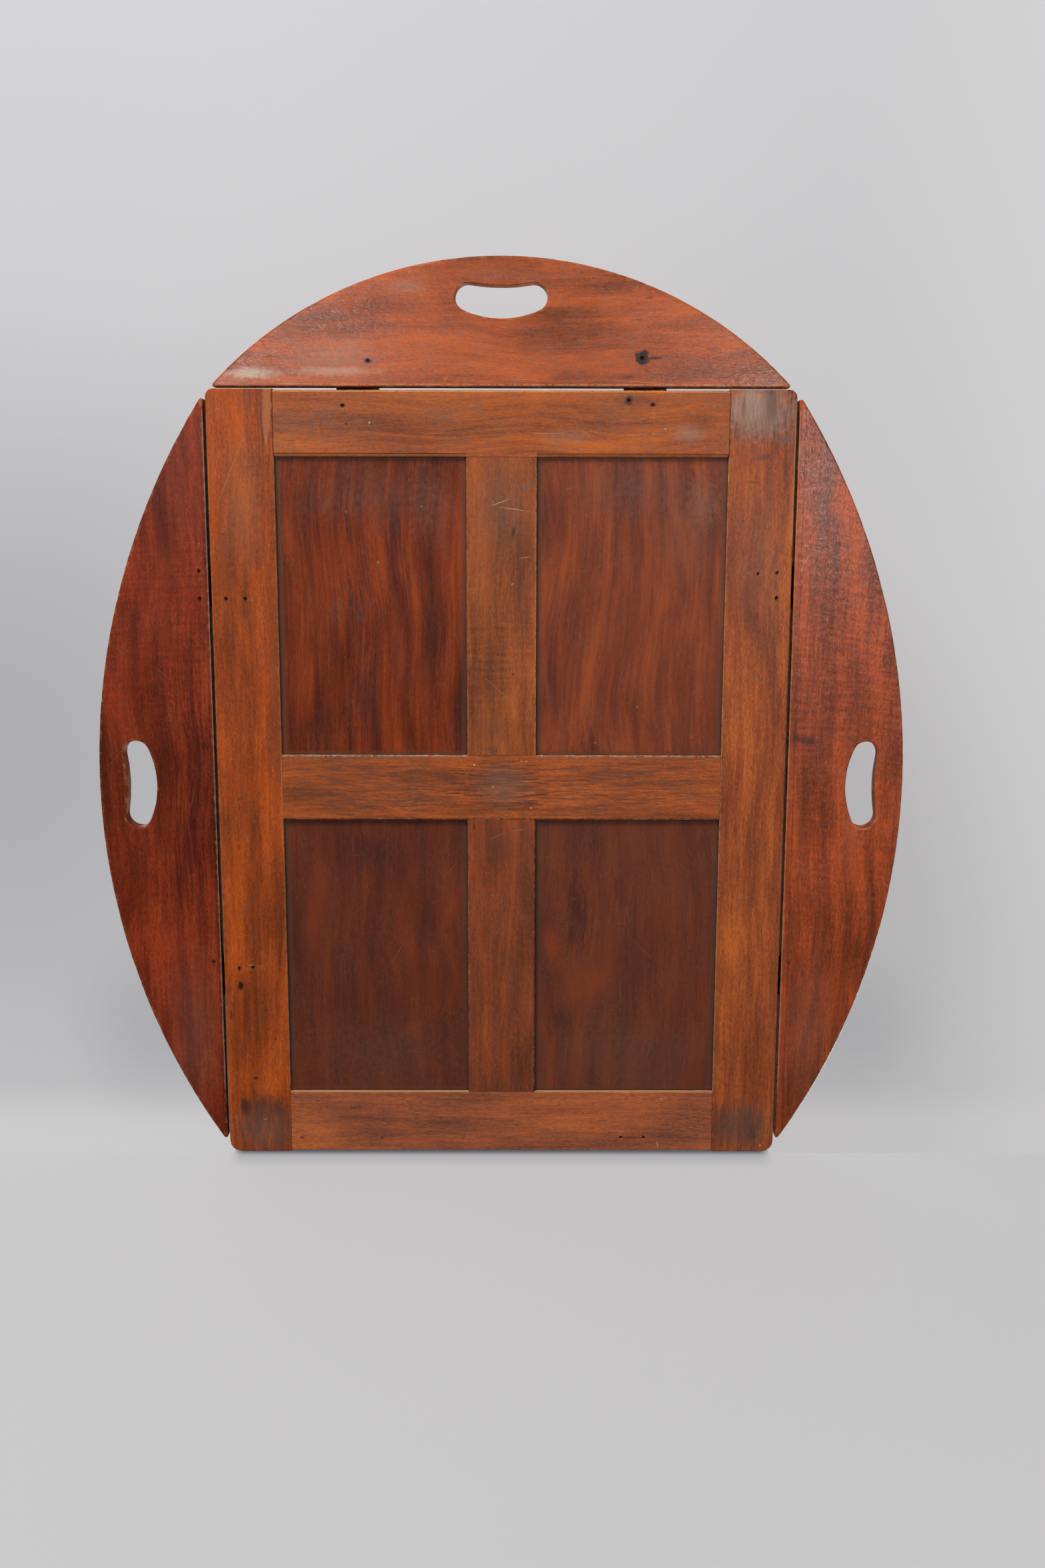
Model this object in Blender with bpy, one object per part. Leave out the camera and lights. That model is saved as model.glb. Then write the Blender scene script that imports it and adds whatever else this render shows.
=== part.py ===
# A butler's tray in mahogany: a panelled base whose four rounded flaps swing up on sprung brass hinges.
# Metres, +Z up. The tray lies flat on its underside with the serving face up. The origin is on the
# underside, in the middle of the middle rail. The long way is Y. Seen from below with +Y at the top,
# as in the photograph, +X is on the left: "left" and "right" in the names are meant that way.
# Three flaps lie flat, and the bottom flap, at -Y, stands up at its hinges' second stop.
import math

import bmesh
import bpy
from mathutils import Matrix

# Base frame
FRAME_LENGTH = 0.7275
FRAME_WIDTH = 0.533
FRAME_THICKNESS = 0.017
STILE_WIDTH = 0.0605
TOP_RAIL_WIDTH = 0.0585
MIDDLE_RAIL_WIDTH = 0.061
BOTTOM_RAIL_WIDTH = 0.061
MUNTIN_WIDTH = 0.064
STILE_END_PROUD = 0.001       # the rails have shrunk in width, the stiles not in length
TOP_CORNER_RADIUS = 0.007
BOTTOM_CORNER_RADIUS = 0.011
STILE_END_ARRIS = 0.0052      # rounded so that the end flaps clear the stile ends
BEAD_WIDTH = 0.0027           # worked on the top rail along the two panels
BEAD_DEPTH = 0.0012

# Joinery
FIT = 0.0003
RECESS_DEPTH = 0.0045
GROOVE_WIDTH = 0.005
GROOVE_DEPTH = 0.008
TONGUE_LENGTH = 0.0070
RAIL_TENON_LENGTH = 0.038
MUNTIN_TENON_LENGTH = 0.020
TENON_SHOULDER = 0.010

# Flaps
FLAP_THICKNESS = 0.016
END_HINGE_GAP = 0.0022
SIDE_HINGE_GAP = 0.002
SIDE_FLAP_RADIUS = 0.640
SIDE_FLAP_DEPTH = 0.109
SIDE_FLAP_SHIFT = 0.0025      # the side flaps sit a little nearer the top corners
END_FLAP_RADIUS = 0.360
END_FLAP_DEPTH = 0.1135
TIP_RADIUS = 0.002
ARRIS_RADIUS = 0.0018
END_HINGE_ARRIS = 0.0035      # on both sides of the joint, so that a flap clears as it swings
SIDE_HINGE_ARRIS = 0.0037     # larger, because the gap is narrower

# Hand-hole: two round lobes, a convex inner side and an outer side that dips towards the fingers
HOLE_LENGTH = 0.0824
HOLE_HEIGHT = 0.0302
HOLE_LOBE_RADIUS = 0.012
HOLE_DIP = 0.0024
HOLE_TO_RIM = 0.0385
HOLE_ARRIS_RADIUS = 0.0015

# Sprung hinges
SIDE_HINGE_PLACE = 0.187
END_HINGE_PLACE = 0.130
PLATE_WIDTH = 0.0386
PLATE_THICKNESS = 0.002
FRAME_PLATE_REACH = 0.0375
FLAP_PLATE_REACH = 0.030
BARREL_RADIUS = 0.003
CAM_FLAT = 0.0025             # from the pin's axis to the flats that the spring bears on
KNUCKLE_LENGTH = 0.0127
NOTCH_CLEARANCE = 0.0006
PIN_RADIUS = 0.001
SPRING_WIDTH = 0.0125
SPRING_THICKNESS = 0.0008
SPRING_REACH = 0.030
SPRING_BEND_START = 0.017
SPRING_BEND_END = 0.004
RIVET_RADIUS = 0.0012
RIVET_HEAD_RADIUS = 0.0024
RIVET_HEAD_HEIGHT = 0.0008
RIVET_PLACE = 0.0235
SCREW_SPACING = 0.025
FRAME_NEAR_ROW = 0.014
FRAME_FAR_ROW = 0.0315
FLAP_NEAR_ROW = 0.0105
FLAP_FAR_ROW = 0.024
SCREW_SHANK_RADIUS = 0.0016
SCREW_HEAD_RADIUS = 0.0031

# How finely round shapes are cut
FLAP_ARC_STEPS = 40
TIP_STEPS = 3
CORNER_STEPS = 4
ARRIS_STEPS = 3
LOBE_STEPS = 9
HOLE_SIDE_STEPS = 6
BARREL_STEPS = 12
HOLE_STEPS = 8
SPRING_STEPS = 6

OVERRUN = 0.002               # how far a cutter runs past what it cuts
QUARTER = math.pi / 2

# Places that follow from the sizes above
STILE_INNER = FRAME_WIDTH / 2 - STILE_WIDTH
RAIL_END = FRAME_LENGTH / 2 - STILE_END_PROUD
TOP_PANEL_END = RAIL_END - TOP_RAIL_WIDTH
BOTTOM_PANEL_END = -RAIL_END + BOTTOM_RAIL_WIDTH
PIN_DEPTH = BARREL_RADIUS
PIN_HEIGHT = FRAME_THICKNESS - PIN_DEPTH
GROOVE_TOP = RECESS_DEPTH + GROOVE_WIDTH
CHANNEL_DEPTH = BARREL_RADIUS + FIT + SPRING_THICKNESS + FIT


def new_material(name, colour, roughness, metallic):
    material = bpy.data.materials.new(name)
    material.use_nodes = True
    shader = material.node_tree.nodes["Principled BSDF"]
    shader.inputs["Base Color"].default_value = (*colour, 1)
    shader.inputs["Roughness"].default_value = roughness
    shader.inputs["Metallic"].default_value = metallic
    return material


def new_object(name, bm, material, parent=None):
    bmesh.ops.remove_doubles(bm, verts=bm.verts, dist=FIT / 100)
    bmesh.ops.recalc_face_normals(bm, faces=bm.faces)
    mesh = bpy.data.meshes.new(name)
    bm.to_mesh(mesh)
    bm.free()
    mesh.shade_smooth()
    mesh.set_sharp_from_angle(angle=math.radians(35))
    if material:
        mesh.materials.append(material)
    piece = bpy.data.objects.new(name, mesh)
    piece.parent = parent
    bpy.context.collection.objects.link(piece)
    return piece


def new_cutter(name, bm, parent=None):
    cutter = new_object(name, bm, None, parent)
    cutter.hide_render = True
    cutter.display_type = "WIRE"
    return cutter


def apply_cutter(piece, cutter, operation="DIFFERENCE"):
    modifier = piece.modifiers.new(cutter.name, "BOOLEAN")
    modifier.operation = operation
    modifier.object = cutter


def new_empty(name, location, swing, turn):
    empty = bpy.data.objects.new(name, None)
    empty.location = location
    empty.rotation_euler = (swing, 0, turn)
    empty.empty_display_size = PLATE_WIDTH
    bpy.context.collection.objects.link(empty)
    return empty


def add_box(bm, low, high):
    middle = [(a + b) / 2 for a, b in zip(low, high)]
    size = [b - a for a, b in zip(low, high)]
    place = Matrix.Translation(middle) @ Matrix.Diagonal((*size, 1))
    bmesh.ops.create_cube(bm, size=1, matrix=place)


def add_bar(bm, radius, length, steps, middle=(0, 0, 0)):
    # A round bar along X
    place = Matrix.Translation(middle) @ Matrix.Rotation(QUARTER, 4, "Y")
    bmesh.ops.create_cone(bm, cap_ends=True, segments=steps, radius1=radius, radius2=radius,
                          depth=length, matrix=place)


def add_prism(bm, profile, width):
    # A profile in the YZ plane, extruded along X, centred on X = 0
    face = bm.faces.new([bm.verts.new((-width / 2, y, z)) for y, z in profile])
    moved = bmesh.ops.extrude_face_region(bm, geom=[face])["geom"]
    corners = [item for item in moved if isinstance(item, bmesh.types.BMVert)]
    bmesh.ops.translate(bm, verts=corners, vec=(width, 0, 0))


def add_turned(bm, profile, steps, centre):
    # A closed turned shape from (radius, height) points, on a vertical axis
    x, y = centre
    points = [bm.verts.new((x + radius, y, height)) for radius, height in profile]
    edges = [bm.edges.new(pair) for pair in zip(points, points[1:])]
    bmesh.ops.spin(bm, geom=points + edges, cent=(x, y, 0), axis=(0, 0, 1), angle=2 * math.pi,
                   steps=steps, use_merge=True)


def bridge_rings(bm, rings):
    count = len(rings[0])
    for lower, upper in zip(rings, rings[1:]):
        for k in range(count):
            after = (k + 1) % count
            bm.faces.new((lower[k], lower[after], upper[after], upper[k]))


def ring_edges(bm, ring):
    return [bm.edges.get((a, b)) or bm.edges.new((a, b)) for a, b in zip(ring, ring[1:] + ring[:1])]


def arris_levels():
    # Quarter-round arris: how far in and how far from the face, as shares of its radius
    for step in range(ARRIS_STEPS + 1):
        angle = QUARTER * step / ARRIS_STEPS
        yield 1 - math.sin(angle), 1 - math.cos(angle)


def add_rounded_board(bm, rim):
    # A board from its plan. Each rim point is (x, y, way in, lower arris radius, upper arris radius).
    levels = list(arris_levels())
    lower = [[(x + way[0] * low * inward, y + way[1] * low * inward, low * rise)
              for x, y, way, low, high in rim] for inward, rise in levels]
    upper = [[(x + way[0] * high * inward, y + way[1] * high * inward, FRAME_THICKNESS - high * rise)
              for x, y, way, low, high in rim] for inward, rise in reversed(levels)]
    rings = [[bm.verts.new(point) for point in ring] for ring in lower + upper]
    bridge_rings(bm, rings)
    bm.faces.new(rings[0])
    bm.faces.new(rings[-1])


# Base frame

def stile_rim(side):
    rim = [(side * STILE_INNER, -FRAME_LENGTH / 2, (0, 1), ARRIS_RADIUS, STILE_END_ARRIS)]
    for end, radius in ((-1, BOTTOM_CORNER_RADIUS), (1, TOP_CORNER_RADIUS)):
        centre_x = FRAME_WIDTH / 2 - radius
        centre_y = end * (FRAME_LENGTH / 2 - radius)
        for step in range(CORNER_STEPS + 1):
            share = step / CORNER_STEPS if end < 0 else 1 - step / CORNER_STEPS
            angle = QUARTER * (1 - share)
            way = (-side * math.cos(angle), -end * math.sin(angle))
            arris = STILE_END_ARRIS + (SIDE_HINGE_ARRIS - STILE_END_ARRIS) * share
            rim.append((side * (centre_x + radius * math.cos(angle)),
                        centre_y + end * radius * math.sin(angle), way, ARRIS_RADIUS, arris))
    rim.append((side * STILE_INNER, FRAME_LENGTH / 2, (0, -1), ARRIS_RADIUS, STILE_END_ARRIS))
    return rim


def rail_rim(inner, end):
    half = STILE_INNER - FIT
    outer = end * RAIL_END
    return [(-half, inner, (0, 0), 0, 0), (half, inner, (0, 0), 0, 0),
            (half, outer, (0, -end), ARRIS_RADIUS, END_HINGE_ARRIS),
            (-half, outer, (0, -end), ARRIS_RADIUS, END_HINGE_ARRIS)]


def add_tenon(piece, low, high):
    # Tenons lie in line with the panel grooves. low and high are corners in plan.
    bm = bmesh.new()
    add_box(bm, (*low, RECESS_DEPTH + FIT), (*high, GROOVE_TOP - FIT))
    apply_cutter(piece, new_cutter(piece.name + "_tenon", bm), "UNION")


def cut_slot(piece, low, high):
    # A groove or a mortise, at the height of the panel grooves
    bm = bmesh.new()
    add_box(bm, (*low, RECESS_DEPTH), (*high, GROOVE_TOP))
    apply_cutter(piece, new_cutter(piece.name + "_slot", bm))


def rail_tenon_span(low, high):
    return low + TENON_SHOULDER, high - TENON_SHOULDER


RAIL_SPANS = (
    (TOP_PANEL_END, RAIL_END),
    (-MIDDLE_RAIL_WIDTH / 2, MIDDLE_RAIL_WIDTH / 2),
    (-RAIL_END, BOTTOM_PANEL_END),
)
PANEL_SPANS = (
    ("upper", MIDDLE_RAIL_WIDTH / 2, TOP_PANEL_END),
    ("lower", BOTTOM_PANEL_END, -MIDDLE_RAIL_WIDTH / 2),
)


def make_stile(name, side, material):
    bm = bmesh.new()
    add_rounded_board(bm, stile_rim(side))
    stile = new_object(name, bm, material)
    inner = side * (STILE_INNER - OVERRUN)
    groove = side * (STILE_INNER + GROOVE_DEPTH)
    for place, low, high in PANEL_SPANS:
        cut_slot(stile, (min(inner, groove), low - GROOVE_DEPTH), (max(inner, groove), high + GROOVE_DEPTH))
    mortise = side * (STILE_INNER + RAIL_TENON_LENGTH)
    for low, high in RAIL_SPANS:
        start, end = rail_tenon_span(low, high)
        cut_slot(stile, (min(inner, mortise), start - FIT), (max(inner, mortise), end + FIT))
    return stile


def add_rail_tenons(rail, low, high):
    start, end = rail_tenon_span(low, high)
    root = STILE_INNER - TENON_SHOULDER
    tip = STILE_INNER + RAIL_TENON_LENGTH - FIT
    add_tenon(rail, (root, start), (tip, end))
    add_tenon(rail, (-tip, start), (-root, end))


def cut_bead(rail):
    # A chamfered bead along the top rail, stopped at the muntin and at the stiles
    for side in (-1, 1):
        bm = bmesh.new()
        top = TOP_PANEL_END
        profile = [(top - OVERRUN, -OVERRUN), (top + BEAD_WIDTH, -OVERRUN), (top + BEAD_WIDTH, 0),
                   (top, BEAD_DEPTH), (top - OVERRUN, BEAD_DEPTH)]
        start = MUNTIN_WIDTH / 2 + FIT
        end = STILE_INNER + OVERRUN
        add_prism(bm, profile, end - start)
        bmesh.ops.translate(bm, verts=bm.verts, vec=(side * (start + end) / 2, 0, 0))
        apply_cutter(rail, new_cutter(rail.name + "_bead", bm))


def make_end_rail(name, end, material):
    low, high = RAIL_SPANS[0] if end > 0 else RAIL_SPANS[2]
    inner = low if end > 0 else high
    bm = bmesh.new()
    add_rounded_board(bm, rail_rim(inner, end))
    rail = new_object(name, bm, material)
    add_rail_tenons(rail, low, high)
    groove = inner + end * GROOVE_DEPTH
    outside = inner - end * OVERRUN
    half = STILE_INNER + RAIL_TENON_LENGTH
    for side in (-1, 1):
        near, far = sorted((side * (MUNTIN_WIDTH / 2 - GROOVE_DEPTH), side * half))
        cut_slot(rail, (near, min(groove, outside)), (far, max(groove, outside)))
    mortise = inner + end * MUNTIN_TENON_LENGTH
    reach = MUNTIN_WIDTH / 2 - TENON_SHOULDER + FIT
    cut_slot(rail, (-reach, min(mortise, outside)), (reach, max(mortise, outside)))
    if end > 0:
        cut_bead(rail)
    return rail


def make_middle_rail(name, material):
    low, high = RAIL_SPANS[1]
    bm = bmesh.new()
    add_box(bm, (-STILE_INNER + FIT, low, 0), (STILE_INNER - FIT, high, FRAME_THICKNESS))
    rail = new_object(name, bm, material)
    add_rail_tenons(rail, low, high)
    half = STILE_INNER + RAIL_TENON_LENGTH
    reach = MUNTIN_WIDTH / 2 - TENON_SHOULDER + FIT
    for end in (-1, 1):
        edge = end * MIDDLE_RAIL_WIDTH / 2
        outside = edge + end * OVERRUN
        groove = edge - end * GROOVE_DEPTH
        for side in (-1, 1):
            near, far = sorted((side * (MUNTIN_WIDTH / 2 - GROOVE_DEPTH), side * half))
            cut_slot(rail, (near, min(groove, outside)), (far, max(groove, outside)))
        mortise = edge - end * MUNTIN_TENON_LENGTH
        cut_slot(rail, (-reach, min(mortise, outside)), (reach, max(mortise, outside)))
    return rail


def make_muntin(name, low, high, material):
    half = MUNTIN_WIDTH / 2
    bm = bmesh.new()
    add_box(bm, (-half, low + FIT, 0), (half, high - FIT, FRAME_THICKNESS))
    muntin = new_object(name, bm, material)
    reach = half - TENON_SHOULDER
    length = MUNTIN_TENON_LENGTH - FIT
    add_tenon(muntin, (-reach, high - TENON_SHOULDER), (reach, high + length))
    add_tenon(muntin, (-reach, low - length), (reach, low + TENON_SHOULDER))
    for side in (-1, 1):
        near, far = sorted((side * (half - GROOVE_DEPTH), side * (half + OVERRUN)))
        cut_slot(muntin, (near, low - OVERRUN), (far, high + OVERRUN))
    return muntin


def make_panel(name, side, low, high, material):
    # Flush with the serving face, recessed on the underside, with a tongue all round in the grooves
    near = side * MUNTIN_WIDTH / 2
    far = side * STILE_INNER
    left, right = min(near, far), max(near, far)
    bm = bmesh.new()
    add_box(bm, (left - TONGUE_LENGTH, low - TONGUE_LENGTH, RECESS_DEPTH + FIT),
            (right + TONGUE_LENGTH, high + TONGUE_LENGTH, GROOVE_TOP - FIT))
    top = max(bm.faces, key=lambda face: face.calc_center_median().z)
    bmesh.ops.inset_region(bm, faces=[top], thickness=TONGUE_LENGTH + FIT, use_boundary=True,
                           use_even_offset=True)
    moved = bmesh.ops.extrude_face_region(bm, geom=[top])["geom"]
    corners = [item for item in moved if isinstance(item, bmesh.types.BMVert)]
    bmesh.ops.translate(bm, verts=corners, vec=(0, 0, FRAME_THICKNESS - GROOVE_TOP + FIT))
    bmesh.ops.delete(bm, geom=[top], context="FACES_ONLY")
    return new_object(name, bm, material)


# Flaps, in the frame of their hinge line: X along the pins, Y outwards, Z up, the origin on the axis

def flap_plan(radius, depth, offset, edge_inset, rim_inset):
    # The plan of a flap: an arc, two blunt tips and the straight hinged edge, which lies offset
    # from the pins. The share goes from 0 on the arc to 1 on the hinged edge.
    edge = offset + edge_inset
    arc_radius = radius - rim_inset
    centre = offset + depth - radius
    tip_y = edge + TIP_RADIUS
    tip_x = math.sqrt((arc_radius - TIP_RADIUS) ** 2 - (tip_y - centre) ** 2)
    start = math.atan2(tip_y - centre, tip_x)
    plan = []
    for step in range(FLAP_ARC_STEPS + 1):
        angle = start + (math.pi - 2 * start) * step / FLAP_ARC_STEPS
        plan.append((arc_radius * math.cos(angle), centre + arc_radius * math.sin(angle), 0))
    tip = []
    for step in range(1, TIP_STEPS + 1):
        share = step / TIP_STEPS
        angle = start - (start + QUARTER) * share
        tip.append((tip_x + TIP_RADIUS * math.cos(angle), tip_y + TIP_RADIUS * math.sin(angle), share))
    plan += [(-x, y, share) for x, y, share in tip]
    plan += list(reversed(tip))
    return plan


def hole_plan(rim, outset):
    # The kidney-shaped hand-hole, grown by outset towards the faces. rim is how far the flap reaches.
    lobe_x = HOLE_LENGTH / 2 - HOLE_LOBE_RADIUS
    lobe_y = HOLE_HEIGHT / 2 - HOLE_LOBE_RADIUS
    low = -HOLE_HEIGHT / 2
    dip = HOLE_HEIGHT / 2 - HOLE_DIP
    # Centres of the two long arcs, which touch the lobes smoothly
    rise = HOLE_LOBE_RADIUS + low
    inner_centre = (lobe_x ** 2 + lobe_y ** 2 - rise ** 2) / (2 * (lobe_y - rise))
    inner_radius = inner_centre - low
    fall = HOLE_LOBE_RADIUS - dip
    outer_centre = (lobe_x ** 2 + lobe_y ** 2 - fall ** 2) / (2 * (lobe_y + fall))
    outer_radius = outer_centre - dip
    inner_angle = math.atan2(lobe_y - inner_centre, lobe_x)
    outer_angle = math.atan2(lobe_y - outer_centre, lobe_x)
    lobe_end = math.atan2(outer_centre - lobe_y, -lobe_x)
    plan = []
    for step in range(HOLE_SIDE_STEPS):
        angle = -math.pi - inner_angle + (math.pi + 2 * inner_angle) * step / HOLE_SIDE_STEPS
        reach = inner_radius + outset
        plan.append((reach * math.cos(angle), inner_centre + reach * math.sin(angle)))
    lobe = []
    for step in range(LOBE_STEPS):
        angle = inner_angle + (lobe_end - inner_angle) * step / LOBE_STEPS
        reach = HOLE_LOBE_RADIUS + outset
        lobe.append((lobe_x + reach * math.cos(angle), lobe_y + reach * math.sin(angle)))
    plan += lobe
    for step in range(HOLE_SIDE_STEPS + 1):
        angle = outer_angle - (math.pi + 2 * outer_angle) * step / HOLE_SIDE_STEPS
        reach = outer_radius - outset
        plan.append((reach * math.cos(angle), outer_centre + reach * math.sin(angle)))
    plan += [(-x, y) for x, y in reversed(lobe[1:])]
    middle = rim - HOLE_TO_RIM
    return [(x, middle + y) for x, y in plan]


def make_flap(name, gap, radius, depth, hinge_arris, material, hinge_line):
    offset = gap / 2
    rim = offset + depth
    face = PIN_DEPTH
    back = PIN_DEPTH - FLAP_THICKNESS
    levels = list(arris_levels())
    rings = []
    holes = []
    for inward, rise in levels:
        plan = flap_plan(radius, depth, offset, ARRIS_RADIUS * inward, ARRIS_RADIUS * inward)
        rings.append([(x, y, back + ARRIS_RADIUS * rise) for x, y, share in plan])
        hole = hole_plan(rim, HOLE_ARRIS_RADIUS * inward)
        holes.append([(x, y, back + HOLE_ARRIS_RADIUS * rise) for x, y in hole])
    for inward, rise in reversed(levels):
        plan = flap_plan(radius, depth, offset, hinge_arris * inward, ARRIS_RADIUS * inward)
        wider = hinge_arris - ARRIS_RADIUS
        rings.append([(x, y, face - (ARRIS_RADIUS + wider * share) * rise) for x, y, share in plan])
        hole = hole_plan(rim, HOLE_ARRIS_RADIUS * inward)
        holes.append([(x, y, face - HOLE_ARRIS_RADIUS * rise) for x, y in hole])
    bm = bmesh.new()
    outer = [[bm.verts.new(point) for point in ring] for ring in rings]
    inner = [[bm.verts.new(point) for point in ring] for ring in holes]
    bridge_rings(bm, outer)
    bridge_rings(bm, inner)
    for level in (0, -1):
        edges = ring_edges(bm, outer[level]) + ring_edges(bm, inner[level])
        bmesh.ops.triangle_fill(bm, use_beauty=True, edges=edges)
    return new_object(name, bm, material, hinge_line)


# Sprung hinges, in the same frame, with the frame plate towards -Y

def plate_profile(reach, way, flats):
    # A plate rolled into its knuckle. way is -1 for the frame plate and 1 for the flap plate.
    top = PIN_DEPTH
    under = PIN_DEPTH - PLATE_THICKNESS
    meet = math.asin(under / BARREL_RADIUS)
    profile = [(way * reach, under), (way * reach, top)]
    span = 2 * math.pi - QUARTER + meet
    for step in range(BARREL_STEPS + 1):
        angle = QUARTER + span * step / BARREL_STEPS
        y = BARREL_RADIUS * math.cos(angle)
        z = BARREL_RADIUS * math.sin(angle)
        if flats:
            y = max(y, -CAM_FLAT)
            z = max(z, -CAM_FLAT)
        profile.append((way * y, z))
    return profile


def countersink(bm, x, y):
    top = PIN_DEPTH
    under = top - PLATE_THICKNESS
    profile = [(0, top + OVERRUN), (SCREW_HEAD_RADIUS, top + OVERRUN), (SCREW_HEAD_RADIUS, top),
               (SCREW_SHANK_RADIUS, under), (SCREW_SHANK_RADIUS, under - OVERRUN),
               (0, under - OVERRUN)]
    add_turned(bm, profile, HOLE_STEPS, (x, y))


def cut_screw_holes(plate, rows, way, parent):
    bm = bmesh.new()
    for row in rows:
        for side in (-1, 1):
            countersink(bm, side * SCREW_SPACING / 2, way * row)
    apply_cutter(plate, new_cutter(plate.name + "_countersinks", bm, parent))


def cut_bore(plate, parent):
    bm = bmesh.new()
    add_bar(bm, PIN_RADIUS + FIT, PLATE_WIDTH + 2 * OVERRUN, HOLE_STEPS)
    apply_cutter(plate, new_cutter(plate.name + "_bore", bm, parent))


def make_frame_plate(name, parent, material):
    bm = bmesh.new()
    add_prism(bm, plate_profile(FRAME_PLATE_REACH, -1, False), PLATE_WIDTH)
    plate = new_object(name, bm, material, parent)
    cut_bore(plate, parent)
    gap = bmesh.new()
    half = KNUCKLE_LENGTH / 2 + FIT
    reach = BARREL_RADIUS + FIT
    add_box(gap, (-half, -reach, -reach), (half, reach, PIN_DEPTH + OVERRUN))
    apply_cutter(plate, new_cutter(name + "_gap", gap, parent))
    cut_screw_holes(plate, (FRAME_NEAR_ROW, FRAME_FAR_ROW), -1, parent)
    hole = bmesh.new()
    profile = [(0, -OVERRUN), (RIVET_RADIUS + FIT, -OVERRUN), (RIVET_RADIUS + FIT, PIN_DEPTH + OVERRUN),
               (0, PIN_DEPTH + OVERRUN)]
    add_turned(hole, profile, HOLE_STEPS, (0, -RIVET_PLACE))
    apply_cutter(plate, new_cutter(name + "_rivet_hole", hole, parent))
    return plate


def make_flap_plate(name, parent, material):
    bm = bmesh.new()
    add_prism(bm, plate_profile(FLAP_PLATE_REACH, 1, True), PLATE_WIDTH)
    plate = new_object(name, bm, material, parent)
    cut_bore(plate, parent)
    reach = BARREL_RADIUS + FIT
    inner = KNUCKLE_LENGTH / 2
    outer = PLATE_WIDTH / 2 + OVERRUN
    for side in (-1, 1):
        gap = bmesh.new()
        low, high = sorted((side * inner, side * outer))
        add_box(gap, (low, -reach, -reach), (high, reach, PIN_DEPTH + OVERRUN))
        apply_cutter(plate, new_cutter(name + "_gap", gap, parent))
    cut_screw_holes(plate, (FLAP_NEAR_ROW, FLAP_FAR_ROW), 1, parent)
    return plate


def make_pin(name, parent, material):
    bm = bmesh.new()
    add_bar(bm, PIN_RADIUS, PLATE_WIDTH, HOLE_STEPS)
    return new_object(name, bm, material, parent)


def make_spring(name, parent, gap, material):
    # A steel leaf under the frame plate. It bends down and crosses the joint under the middle
    # knuckle, where it bears on one flat with the flap open and on the other with the flap up.
    # Its tip stops short of the flap's wood.
    high = PIN_DEPTH - PLATE_THICKNESS - FIT
    low = -BARREL_RADIUS - FIT
    upper = [(-SPRING_REACH, high)]
    for step in range(SPRING_STEPS + 1):
        share = step / SPRING_STEPS
        blend = (1 - math.cos(math.pi * share)) / 2
        y = -SPRING_BEND_START + (SPRING_BEND_START - SPRING_BEND_END) * share
        upper.append((y, high + (low - high) * blend))
    upper.append((gap / 2 - FIT, low))
    profile = upper + [(y, z - SPRING_THICKNESS) for y, z in reversed(upper)]
    bm = bmesh.new()
    add_prism(bm, profile, SPRING_WIDTH)
    spring = new_object(name, bm, material, parent)
    hole = bmesh.new()
    profile = [(0, low), (RIVET_RADIUS + FIT, low), (RIVET_RADIUS + FIT, PIN_DEPTH), (0, PIN_DEPTH)]
    add_turned(hole, profile, HOLE_STEPS, (0, -RIVET_PLACE))
    apply_cutter(spring, new_cutter(name + "_hole", hole, parent))
    return spring


def make_rivet(name, parent, material):
    under = PIN_DEPTH - PLATE_THICKNESS - FIT - SPRING_THICKNESS - FIT
    profile = [(0, PIN_DEPTH), (RIVET_RADIUS, PIN_DEPTH), (RIVET_RADIUS, under),
               (RIVET_HEAD_RADIUS, under), (RIVET_HEAD_RADIUS, under - RIVET_HEAD_HEIGHT),
               (0, under - RIVET_HEAD_HEIGHT)]
    bm = bmesh.new()
    add_turned(bm, profile, HOLE_STEPS, (0, -RIVET_PLACE))
    return new_object(name, bm, material, parent)


def cut_hinge_beds(wood, name, parent, way, reach):
    # The bed that a plate is let into, the notch round the barrel and, in the base, the spring's channel
    half = PLATE_WIDTH / 2 + FIT
    top = PIN_DEPTH + OVERRUN
    under = PIN_DEPTH - PLATE_THICKNESS - FIT
    bed = bmesh.new()
    low, high = sorted((0, way * (reach + FIT)))
    add_box(bed, (-half, low, under), (half, high, top))
    apply_cutter(wood, new_cutter(name + "_bed", bed, parent))
    notch = bmesh.new()
    add_bar(notch, BARREL_RADIUS + NOTCH_CLEARANCE, 2 * half, BARREL_STEPS)
    apply_cutter(wood, new_cutter(name + "_notch", notch, parent))
    if way < 0:
        channel = bmesh.new()
        slot = SPRING_WIDTH / 2 + FIT
        add_box(channel, (-slot, -SPRING_REACH - FIT, -CHANNEL_DEPTH), (slot, OVERRUN, top))
        apply_cutter(wood, new_cutter(name + "_channel", channel, parent))


def make_hinge(name, wood, flap, base_line, flap_line, place, gap, brass, steel):
    # base_line and flap_line are empties on the same axis. flap_line swings with the flap.
    base = bpy.data.objects.new(name + "_base_place", None)
    swing = bpy.data.objects.new(name + "_flap_place", None)
    for empty, line in ((base, base_line), (swing, flap_line)):
        empty.parent = line
        empty.location = (place, 0, 0)
        bpy.context.collection.objects.link(empty)
    make_frame_plate(name + "_frame_plate", base, brass)
    make_pin(name + "_pin", base, steel)
    make_spring(name + "_spring", base, gap, steel)
    make_rivet(name + "_rivet", base, brass)
    make_flap_plate(name + "_flap_plate", swing, brass)
    cut_hinge_beds(wood, name + "_base", base, -1, FRAME_PLATE_REACH)
    cut_hinge_beds(flap, name + "_flap", swing, 1, FLAP_PLATE_REACH)


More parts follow.
